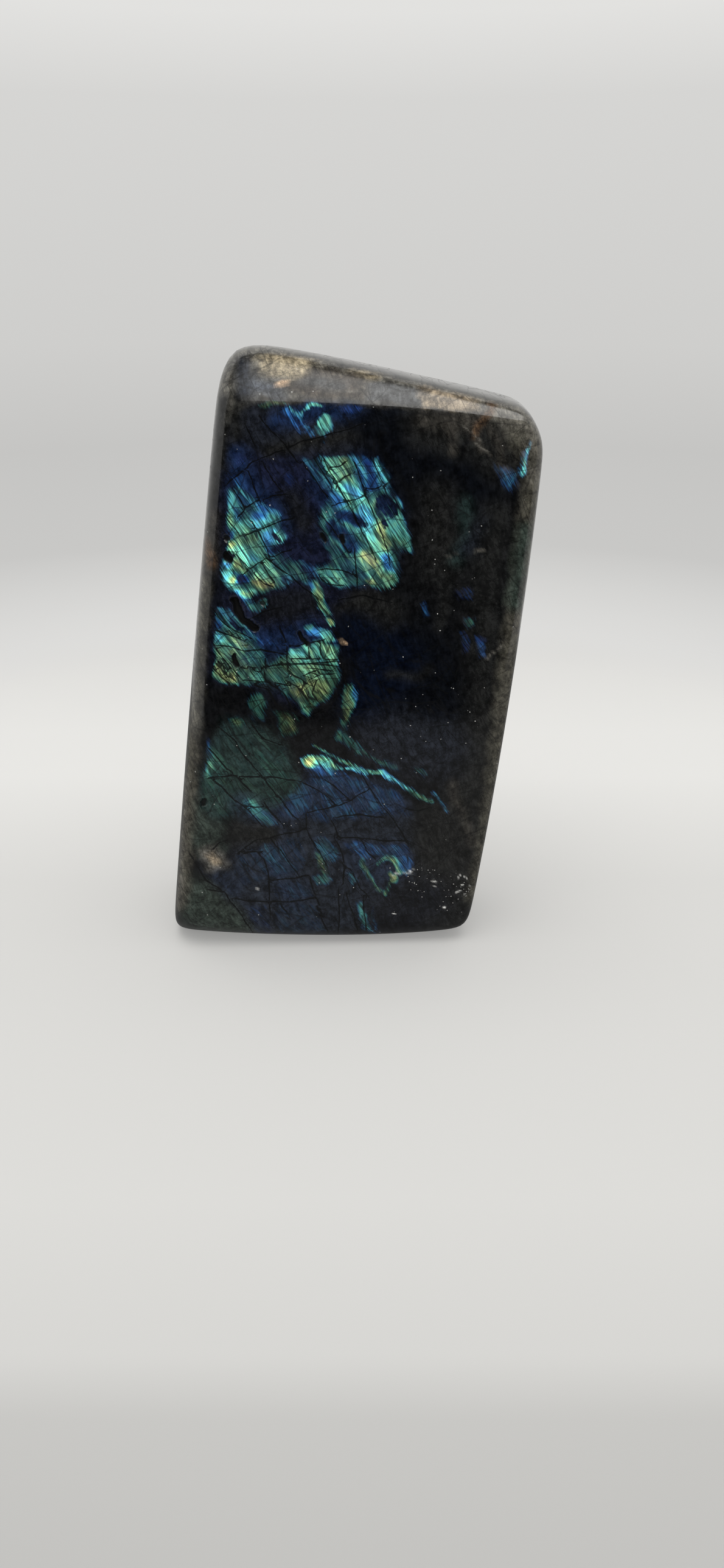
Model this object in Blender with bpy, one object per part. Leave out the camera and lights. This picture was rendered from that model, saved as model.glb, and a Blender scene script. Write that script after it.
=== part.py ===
"""A polished freeform of labradorite: one stone that stands on its sawn, flat foot.

Run it with: blender --background --python part.py

The stone is one solid. It was ground on a flat lap into a leaning slab, facet by facet, and then
polished until every edge rolled over. The code follows that: each facet is a very large sphere
that cuts the block, and the facets blend where they meet by the softness that each one has.

Axes: +Z up, the face with the colour play looks along -Y, and +X is to the right of that face.
Origin: the middle of the stone's box, on the floor.
"""

from math import cos, pi, radians, sin
from typing import NamedTuple

import bmesh
import bpy
import numpy as np
from mathutils import Matrix, Vector

MM = 0.001
NAME = "polished_stone"

# The heart is the point that every facet's distance is measured from, this far above the foot.
HEART_HEIGHT = 88 * MM


class Facet(NamedTuple):
    """One ground face of the stone."""

    bearing: float  # degrees round the stone from its front, towards its right
    rise: float  # degrees that it looks above the horizon
    distance: float  # from the heart to the facet
    softness: float  # how far its edges roll over into its neighbours
    dome: float  # radius of its slight crown


FACETS = {
    "front": Facet(2.5, 0, 24 * MM, 1.6 * MM, 2500 * MM),
    "back": Facet(180, 2, 24 * MM, 3 * MM, 1200 * MM),
    "left": Facet(270, 8, 48.9 * MM, 2 * MM, 9000 * MM),
    "right": Facet(90, -5.4, 45.9 * MM, 2 * MM, 1800 * MM),
    "top": Facet(90, 77.8, 86.05 * MM, 1.8 * MM, 1500 * MM),
    "foot": Facet(0, -90, 89 * MM, 0.7 * MM, 90000 * MM),
    "top front edge": Facet(6, 45, 73 * MM, 1.6 * MM, 700 * MM),
    "top back edge": Facet(172, 50, 82 * MM, 3 * MM, 700 * MM),
    "bottom front edge": Facet(0, -45, 76.3 * MM, 1.6 * MM, 700 * MM),
    "bottom back edge": Facet(180, -45, 79 * MM, 1.6 * MM, 700 * MM),
    "left front edge": Facet(312, 6, 50.5 * MM, 2 * MM, 3000 * MM),
    "left back edge": Facet(230, 4, 50.6 * MM, 3 * MM, 2000 * MM),
    "right front edge": Facet(48, -4, 49.5 * MM, 2 * MM, 3000 * MM),
    "right back edge": Facet(130, -3, 48.6 * MM, 3 * MM, 2000 * MM),
    "upper back slope": Facet(184, 9, 25.3 * MM, 2.5 * MM, 1500 * MM),
    "back right flank": Facet(158, -2, 29.7 * MM, 2.5 * MM, 2000 * MM),
    "upper left corner": Facet(270, 52.5, 94.8 * MM, 3 * MM, 400 * MM),
    "upper right corner": Facet(90, 24.6, 77.9 * MM, 1 * MM, 400 * MM),
    "lower left corner": Facet(270, -40, 110 * MM, 1.9 * MM, 400 * MM),
    "lower right corner": Facet(90, -85, 89.5 * MM, 2.6 * MM, 400 * MM),
}

# A box round the stone, whose points are drawn in to the surface along straight lines that leave
# a smaller box inside it, the core. Both lean to the right as the stone does.
ROUGH_HALF = np.array([60, 30, 92]) * MM
CORE_HALF = np.array([36, 5, 64]) * MM
LEAN = 0.085
REACH = 60 * MM
HALVINGS = 30
CELLS = (26, 14, 42)  # squares along X, Y and Z


class Pit(NamedTuple):
    """A small natural cavity that the polish left open on the front face."""

    x: float
    z: float
    long: float
    wide: float
    deep: float
    turn: float  # degrees that its top leans to the left


PITS = (
    Pit(-33 * MM, 111.4 * MM, 10.5 * MM, 2.2 * MM, 1.6 * MM, 32),
    Pit(-36.5 * MM, 127.5 * MM, 3.8 * MM, 2 * MM, 1.2 * MM, 30),
    Pit(-35.9 * MM, 97.7 * MM, 4 * MM, 1.8 * MM, 1.2 * MM, 10),
    Pit(-17.1 * MM, 104.9 * MM, 4.2 * MM, 1.8 * MM, 1.2 * MM, 25),
    Pit(-10.4 * MM, 132.6 * MM, 2.6 * MM, 1.8 * MM, 1 * MM, 20),
    Pit(-5.3 * MM, 132.6 * MM, 3 * MM, 2 * MM, 1 * MM, 20),
    Pit(-27.5 * MM, 114.7 * MM, 2.8 * MM, 1.8 * MM, 1 * MM, 0),
    Pit(-47.7 * MM, 53 * MM, 2.4 * MM, 2.2 * MM, 1 * MM, 0),
)
CUTTER_RINGS = 8

STONE_COLOUR = (0.02, 0.024, 0.03, 1)
STONE_ROUGHNESS = 0.08


def clear_scene():
    """Removes what the scene holds, so that only the stone is in it."""
    for thing in list(bpy.data.objects):
        bpy.data.objects.remove(thing)


def stone_material():
    """Dark polished feldspar."""
    material = bpy.data.materials.new("labradorite")
    material.use_nodes = True
    shader = material.node_tree.nodes["Principled BSDF"]
    shader.inputs["Base Color"].default_value = STONE_COLOUR
    shader.inputs["Roughness"].default_value = STONE_ROUGHNESS
    shader.inputs["Metallic"].default_value = 0
    material.diffuse_color = STONE_COLOUR
    return material


def facing(facet):
    """The way that a facet looks, as a vector of length one."""
    bearing, rise = radians(facet.bearing), radians(facet.rise)
    return np.array([sin(bearing) * cos(rise), -cos(bearing) * cos(rise), sin(rise)])


def outsideness(points):
    """How far each point, measured from the heart, is outside the stone: zero on its surface.

    Each facet adds e to the power of its own distance over its softness, and the sum is one on
    the surface. Far from an edge one facet rules alone, and near an edge two of them share.
    """
    terms = []
    for facet in FACETS.values():
        sphere_centre = facing(facet) * (facet.distance - facet.dome)
        above = np.linalg.norm(points - sphere_centre, axis=1) - facet.dome
        terms.append(above / facet.softness)
    terms = np.array(terms)
    largest = terms.max(axis=0)
    return largest + np.log(np.exp(terms - largest).sum(axis=0))


def surface_along(starts, directions, reach):
    """The point where the stone's surface crosses each line that starts inside it."""
    inner, outer = np.zeros(len(starts)), np.full(len(starts), reach)
    for _ in range(HALVINGS):
        middle = (inner + outer) / 2
        inside = outsideness(starts + directions * middle[:, None]) < 0
        inner, outer = np.where(inside, middle, inner), np.where(inside, outer, middle)
    return starts + directions * inner[:, None]


def drawn_in(rough):
    """The rough box's points, moved to the stone's surface along lines that fan from the core."""
    core = np.clip(rough, -CORE_HALF, CORE_HALF)
    leaning = np.array([LEAN, 0, 0])
    core_points = core + core[:, 2:] * leaning
    directions = rough + rough[:, 2:] * leaning - core_points
    directions /= np.linalg.norm(directions, axis=1, keepdims=True)
    return surface_along(core_points, directions, REACH)


def box_grid():
    """A bmesh box round the stone, with each side divided into squares."""
    grid = bmesh.new()
    bmesh.ops.create_cube(grid, size=2, matrix=Matrix.Diagonal((*ROUGH_HALF, 1)))
    for axis, cells in enumerate(CELLS):
        along = [edge for edge in grid.edges if abs(edge_vector(edge)[axis]) > ROUGH_HALF[axis]]
        bmesh.ops.subdivide_edges(grid, edges=along, cuts=cells - 1)
    return grid


def edge_vector(edge):
    """From one end of an edge to the other."""
    return edge.verts[1].co - edge.verts[0].co


def stone():
    """The stone's solid, and how far its heart is from the origin.

    The sine crowds the grid's lines towards the edges, where the surface turns fastest.
    """
    grid = box_grid()
    even = np.array([vertex.co for vertex in grid.verts])
    rough = ROUGH_HALF * np.sin(even / ROUGH_HALF * pi / 2)
    points = drawn_in(rough) + (0, 0, HEART_HEIGHT)
    points[:, 2] = np.maximum(points[:, 2], 0)
    middle = (points.min(axis=0) + points.max(axis=0)) / 2
    shift = np.array([-middle[0], -middle[1], 0])
    for vertex, point in zip(grid.verts, points + shift):
        vertex.co = point
    mesh = bpy.data.meshes.new(NAME)
    grid.to_mesh(mesh)
    grid.free()
    mesh.shade_smooth()
    solid = bpy.data.objects.new(NAME, mesh)
    solid.data.materials.append(stone_material())
    return solid, shift + (0, 0, HEART_HEIGHT)


def front_point(x, z, heart):
    """The point of the front face at this place across and up."""
    start = np.array([[x, 0, z]]) - heart
    return Vector(surface_along(start, np.array([[0.0, -1.0, 0.0]]), REACH)[0] + heart)


def pit_cutters(heart):
    """One mesh of flattened balls, sunk to half their thickness in the front face."""
    balls = bmesh.new()
    for pit in PITS:
        size = Matrix.Diagonal((pit.wide / 2, pit.deep, pit.long / 2, 1))
        turn = Matrix.Rotation(-radians(pit.turn), 4, "Y")
        place = Matrix.Translation(front_point(pit.x, pit.z, heart)) @ turn @ size
        bmesh.ops.create_uvsphere(
            balls, u_segments=2 * CUTTER_RINGS, v_segments=CUTTER_RINGS, radius=1, matrix=place
        )
    mesh = bpy.data.meshes.new("pit_cutters")
    balls.to_mesh(mesh)
    balls.free()
    cutter = bpy.data.objects.new("pit_cutters", mesh)
    cutter.hide_render = True
    cutter.display_type = "WIRE"
    return cutter


def add_collection(name, thing):
    """Puts an object in a new collection of the scene."""
    collection = bpy.data.collections.new(name)
    bpy.context.scene.collection.children.link(collection)
    collection.objects.link(thing)


def main():
    clear_scene()
    solid, heart = stone()
    cutter = pit_cutters(heart)
    add_collection("labradorite_freeform", solid)
    add_collection("cutters", cutter)
    pits = solid.modifiers.new("pits", "BOOLEAN")
    pits.operation = "DIFFERENCE"
    pits.solver = "EXACT"
    pits.object = cutter


main()
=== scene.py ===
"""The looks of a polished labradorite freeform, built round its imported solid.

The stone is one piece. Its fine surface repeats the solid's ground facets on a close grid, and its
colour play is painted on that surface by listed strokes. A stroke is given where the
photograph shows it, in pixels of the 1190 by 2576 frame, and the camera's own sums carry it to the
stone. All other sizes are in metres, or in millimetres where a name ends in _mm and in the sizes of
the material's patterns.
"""

import logging
from dataclasses import dataclass
from enum import Enum
from math import cos, pi, radians, sin, tan

import bmesh
import bpy
import numpy as np
from mathutils import Matrix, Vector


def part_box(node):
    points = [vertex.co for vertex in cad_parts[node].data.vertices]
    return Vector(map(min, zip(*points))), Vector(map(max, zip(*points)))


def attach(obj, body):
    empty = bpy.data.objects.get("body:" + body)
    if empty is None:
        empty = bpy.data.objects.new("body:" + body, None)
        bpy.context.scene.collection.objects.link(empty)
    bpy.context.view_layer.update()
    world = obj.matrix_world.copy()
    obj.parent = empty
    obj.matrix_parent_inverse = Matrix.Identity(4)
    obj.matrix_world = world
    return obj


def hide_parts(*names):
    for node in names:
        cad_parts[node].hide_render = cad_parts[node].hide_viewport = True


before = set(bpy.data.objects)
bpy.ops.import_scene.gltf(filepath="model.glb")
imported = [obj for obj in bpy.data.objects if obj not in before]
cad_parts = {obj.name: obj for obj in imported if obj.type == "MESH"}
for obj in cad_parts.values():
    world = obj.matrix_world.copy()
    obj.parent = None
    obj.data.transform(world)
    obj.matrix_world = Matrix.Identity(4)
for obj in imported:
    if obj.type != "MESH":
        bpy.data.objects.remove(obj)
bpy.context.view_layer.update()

LOG = logging.getLogger("labradorite_freeform")
NODE = "polished_stone"
MM = 0.001
Points = np.ndarray
Socket = bpy.types.NodeSocket
Colour = tuple[float, float, float]
Size = tuple[float, float, float]
# Where a pattern starts and stops to rise, and the results below and above.
Levels = tuple[float, float, float, float]


def smooth_step(values: Points, low: float, high: float) -> Points:
    """Eases values from 0 at low to 1 at high.

    Args:
        values: the numbers to ease.
        low: where the result leaves 0.
        high: where the result reaches 1.

    Returns:
        Numbers between 0 and 1.
    """
    part = np.clip((values - low) / (high - low), 0, 1)
    return part * part * (3 - 2 * part)


@dataclass(frozen=True)
class PhotoCamera:
    """The camera of the photograph, which also says where each point falls in it.

    Attributes:
        place: where it stands.
        looks_down: degrees that it looks down.
        long_field: degrees that it sees along the frame's long side.
        frame_wide: pixels across the frame.
        frame_high: pixels down the frame.
        sensor_mm: long side of its sensor.
        near: distance at which it starts to see.
        far: distance at which it stops.
    """

    place: tuple[float, float, float] = (6.2 * MM, -328.1 * MM, 200.7 * MM)
    looks_down: float = 25.0
    long_field: float = 70.0
    frame_wide: int = 1190
    frame_high: int = 2576
    sensor_mm: float = 36.0
    near: float = 10 * MM
    far: float = 20.0

    def pixels_of(self, points: Points) -> Points:
        """Finds where the photograph shows points of space.

        Args:
            points: places in metres, one a row.

        Returns:
            Pixels across and down, one a row.
        """
        down = radians(self.looks_down)
        ahead = np.array([0, cos(down), -sin(down)])
        up = np.array([0, sin(down), cos(down)])
        offset = points - np.array(self.place)
        scale = self.frame_high / 2 / tan(radians(self.long_field / 2)) / (offset @ ahead)
        across = self.frame_wide / 2 + offset[:, 0] * scale
        return np.stack([across, self.frame_high / 2 - (offset @ up) * scale], axis=1)

    def build(self) -> bpy.types.Object:
        """Makes the scene's camera.

        Returns:
            The camera object.
        """
        data = bpy.data.cameras.new("photo_camera")
        data.sensor_width = self.sensor_mm
        data.lens = self.sensor_mm / 2 / tan(radians(self.long_field / 2))
        data.clip_start, data.clip_end = self.near, self.far
        camera = bpy.data.objects.new("photo_camera", data)
        camera.location = self.place
        camera.rotation_euler = (radians(90 - self.looks_down), 0, 0)
        bpy.context.scene.collection.objects.link(camera)
        bpy.context.scene.camera = camera
        return camera


@dataclass(frozen=True)
class Facet:
    """One ground face: a very large sphere that cuts the rough block.

    Attributes:
        bearing: degrees round the stone from its front, towards its right.
        rise: degrees that it looks above the horizon.
        distance_mm: from the stone's heart to the facet.
        softness_mm: how far its edges roll over into its neighbours.
        dome_mm: radius of its slight crown.
    """

    bearing: float
    rise: float
    distance_mm: float
    softness_mm: float
    dome_mm: float

    def facing(self) -> Points:
        """The way that the facet looks, as a vector of length one."""
        bearing, rise = radians(self.bearing), radians(self.rise)
        return np.array([sin(bearing) * cos(rise), -cos(bearing) * cos(rise), sin(rise)])


FACETS = (
    Facet(2.5, 0, 24, 1.6, 2500),  # front
    Facet(180, 2, 24, 3, 1200),  # back
    Facet(270, 8, 48.9, 2, 9000),  # left
    Facet(90, -5.4, 45.9, 2, 1800),  # right
    Facet(90, 77.8, 86.05, 1.8, 1500),  # top
    Facet(0, -90, 89, 0.7, 90000),  # foot
    Facet(6, 45, 73, 1.6, 700),  # top front edge
    Facet(172, 50, 82, 3, 700),  # top back edge
    Facet(0, -45, 76.3, 1.6, 700),  # bottom front edge
    Facet(180, -45, 79, 1.6, 700),  # bottom back edge
    Facet(312, 6, 50.5, 2, 3000),  # left front edge
    Facet(230, 4, 50.6, 3, 2000),  # left back edge
    Facet(48, -4, 49.5, 2, 3000),  # right front edge
    Facet(130, -3, 48.6, 3, 2000),  # right back edge
    Facet(184, 9, 25.3, 2.5, 1500),  # upper back slope
    Facet(158, -2, 29.7, 2.5, 2000),  # back right flank
    Facet(270, 52.5, 94.8, 3, 400),  # upper left corner
    Facet(90, 24.6, 77.9, 1, 400),  # upper right corner
    Facet(270, -40, 110, 1.9, 400),  # lower left corner
    Facet(90, -85, 89.5, 2.6, 400),  # lower right corner
)


@dataclass(frozen=True)
class StoneForm:
    """The stone's ground shape, as the solid has it.

    Attributes:
        facets: the ground faces.
        heart_height: how far above the foot the point is that the facets are measured from.
        rough_half: half sizes of the box whose points are drawn in to the surface.
        core_half: half sizes of the box inside the stone that those lines leave.
        lean: how far both boxes lean to the right for each metre up.
        reach: length of the lines on which the surface is looked for.
        halvings: how many times the search halves a line.
        crowding: how much the box's lines crowd towards its edges, from 0 to 1.
    """

    facets: tuple[Facet, ...] = FACETS
    heart_height: float = 88 * MM
    rough_half: tuple[float, float, float] = (60 * MM, 30 * MM, 92 * MM)
    core_half: tuple[float, float, float] = (36 * MM, 5 * MM, 64 * MM)
    lean: float = 0.085
    reach: float = 80 * MM
    halvings: int = 26
    crowding: float = 0.5

    def outsideness(self, points: Points) -> Points:
        """Tells how far points are outside the stone, as the logarithm of the facets' sum.

        Args:
            points: places measured from the heart.

        Returns:
            Numbers below 0 inside the stone, and 0 on its surface.
        """
        terms = []
        for facet in self.facets:
            sphere_centre = facet.facing() * (facet.distance_mm - facet.dome_mm) * MM
            above = np.linalg.norm(points - sphere_centre, axis=1) - facet.dome_mm * MM
            terms.append(above / (facet.softness_mm * MM))
        stack = np.array(terms)
        largest = stack.max(axis=0)
        return largest + np.log(np.exp(stack - largest).sum(axis=0))

    def drawn_in(self, even: Points) -> Points:
        """Moves the rough box's points to the stone's surface.

        Args:
            even: points of the rough box, from its even grid.

        Returns:
            The same points on the stone, with the middle of its box at the frame's.
        """
        half, core_half = np.array(self.rough_half), np.array(self.core_half)
        crowded = half * np.sin(even / half * pi / 2)
        rough = even * (1 - self.crowding) + crowded * self.crowding
        core = np.clip(rough, -core_half, core_half)
        leaning = np.array([self.lean, 0, 0])
        starts = core + core[:, 2:] * leaning
        directions = rough + rough[:, 2:] * leaning - starts
        directions /= np.linalg.norm(directions, axis=1, keepdims=True)
        inner, outer = np.zeros(len(starts)), np.full(len(starts), self.reach)
        for _ in range(self.halvings):
            middle = (inner + outer) / 2
            inside = self.outsideness(starts + directions * middle[:, None]) < 0
            inner, outer = np.where(inside, middle, inner), np.where(inside, outer, middle)
        points = starts + directions * inner[:, None] + (0, 0, self.heart_height)
        points[:, 2] = np.maximum(points[:, 2], 0)
        low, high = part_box(NODE)
        offset = (np.array(low) + np.array(high) - points.min(axis=0) - points.max(axis=0)) / 2
        return points + (offset[0], offset[1], 0)


class Hue(Enum):
    """Places on the colour play's scale, from the longest look at violet to yellow."""

    VIOLET = 0.05
    INDIGO = 0.18
    DEEP_BLUE = 0.3
    BLUE = 0.42
    SKY = 0.52
    CYAN = 0.6
    TEAL = 0.67
    GREEN = 0.75
    LEAF = 0.85
    YELLOW = 0.96


class Ground(Enum):
    """Colours of the stone between its flashes, as they look in the studio's light."""

    BLACK = (0.0018, 0.0022, 0.0032)
    DEEP = (0.0014, 0.0024, 0.0058)
    COAL = (0.0045, 0.0050, 0.0068)
    PITCH = (0.0028, 0.0030, 0.0034)
    INDIGO = (0.0072, 0.0085, 0.0120)
    NAVY = (0.0048, 0.0062, 0.0155)
    DUSK = (0.0082, 0.0102, 0.0145)
    SLATE = (0.0080, 0.0114, 0.0200)
    BLUE = (0.0045, 0.0100, 0.0290)
    TEAL = (0.0090, 0.0165, 0.0155)
    MOSS = (0.0190, 0.0255, 0.0215)
    UMBER = (0.0200, 0.0185, 0.0160)
    BARK = (0.0072, 0.0074, 0.0072)
    OLIVE = (0.0360, 0.0340, 0.0270)
    CAP = (0.0560, 0.0530, 0.0450)
    RUST = (0.0450, 0.0280, 0.0170)
    STONE = (0.0600, 0.0570, 0.0500)
    TAUPE = (0.0260, 0.0215, 0.0170)
    LILAC = (0.0300, 0.0340, 0.0410)
    DOVE = (0.0330, 0.0345, 0.0355)
    BEIGE = (0.1100, 0.0900, 0.0650)
    TAN = (0.1400, 0.1180, 0.0800)
    FLESH = (0.3000, 0.2100, 0.1350)
    # Painted glint: the white of tiny chips that catch the light, used for the bright specks below.
    GLINT_WHITE = (0.6000, 0.6000, 0.5800)


class Layer(Enum):
    """What a stroke does to the stone."""

    GROUND = "ground"
    FLASH = "flash"
    TINT = "tint"
    CUT = "cut"
    GLINT = "glint"
    PIT = "pit"


@dataclass(frozen=True)
class Stroke:
    """One mark: a line along a path, or the area that a path goes round.

    Attributes:
        layer: what the stroke does.
        path: pixels of the photograph, across and down, that it passes through.
        wide: full width in pixels, at its start and at its end.
        closed: whether the path goes round an area.
        strength: how bright or how strong it is, from 0 to 1.
        tone: its hue, or its ground colour.
        edge: width in pixels over which it fades out.
    """

    layer: Layer
    path: tuple[tuple[float, float], ...]
    wide: tuple[float, float] = (0.0, 0.0)
    closed: bool = False
    strength: float = 1.0
    tone: Hue | Ground = Hue.VIOLET
    edge: float = 5.0

    def distance(self, pixels: Points) -> Points:
        """Measures how far pixels lie outside the stroke.

        Args:
            pixels: places across and down, one a row.

        Returns:
            Distances in pixels, below 0 inside the stroke.
        """
        ends = np.array(self.path + self.path[:1] if self.closed else self.path, dtype=float)
        if len(ends) == 1:
            return np.linalg.norm(pixels - ends[0], axis=1) - self.wide[0] / 2
        halves = np.linspace(self.wide[0], self.wide[1], len(ends)) / 2
        nearest = np.full(len(pixels), np.inf)
        inside = np.zeros(len(pixels), dtype=bool)
        for start, end, half, next_half in zip(ends, ends[1:], halves, halves[1:]):
            run = end - start
            offset = pixels - start
            along = np.clip(offset @ run / (run @ run), 0, 1)
            gap = np.linalg.norm(offset - along[:, None] * run, axis=1)
            nearest = np.minimum(nearest, gap - half - along * (next_half - half))
            spans = (start[1] > pixels[:, 1]) != (end[1] > pixels[:, 1])
            level = np.where(spans, offset[:, 1] / (run[1] or 1), 0)
            inside ^= spans & (pixels[:, 0] < start[0] + level * run[0])
        return np.where(inside, -nearest, nearest) if self.closed else nearest


Pixel = tuple[float, float]
TINT_EDGE = 12
GLINT_EDGE = 16
PIT_TAPER = 0.85


def field(tone: Ground, wide: float, *path: Pixel, soft: float) -> Stroke:
    """A soft line of ground colour."""
    return Stroke(Layer.GROUND, path, (wide, wide), tone=tone, edge=soft)


def area(tone: Ground, *path: Pixel, soft: float) -> Stroke:
    """A filled outline of ground colour."""
    return Stroke(Layer.GROUND, path, closed=True, tone=tone, edge=soft)


def shape(tone: Hue, strength: float, *path: Pixel, soft: float = 11) -> Stroke:
    """The outline of a flash."""
    return Stroke(Layer.FLASH, path, closed=True, strength=strength, tone=tone, edge=soft)


def strand(tone: Hue, strength: float, wide: float | tuple[float, float], *path: Pixel,
           soft: float = 9) -> Stroke:
    """A flash that is a line."""
    widths = wide if isinstance(wide, tuple) else (wide, wide)
    return Stroke(Layer.FLASH, path, widths, strength=strength, tone=tone, edge=soft)


def tint(tone: Hue, strength: float, wide: float, *path: Pixel) -> Stroke:
    """A soft change of the colour and brightness inside a flash."""
    return Stroke(Layer.TINT, path, (wide, wide), strength=strength, tone=tone, edge=TINT_EDGE)


def cut(wide: float, *path: Pixel) -> Stroke:
    """A dark spot that hides the flashes under it."""
    return Stroke(Layer.CUT, path, (wide, wide))


def glint(strength: float, wide: float, *path: Pixel) -> Stroke:
    """A place where painted glints, small bright points, are scattered."""
    return Stroke(Layer.GLINT, path, (wide, wide), strength=strength, edge=GLINT_EDGE)


def pit(depth: float, wide: float, *path: Pixel) -> Stroke:
    """A natural cavity, as deep as this share of the deepest one, and darkened with painted shade."""
    return Stroke(Layer.PIT, path, (wide, wide * PIT_TAPER), strength=depth)
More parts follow.
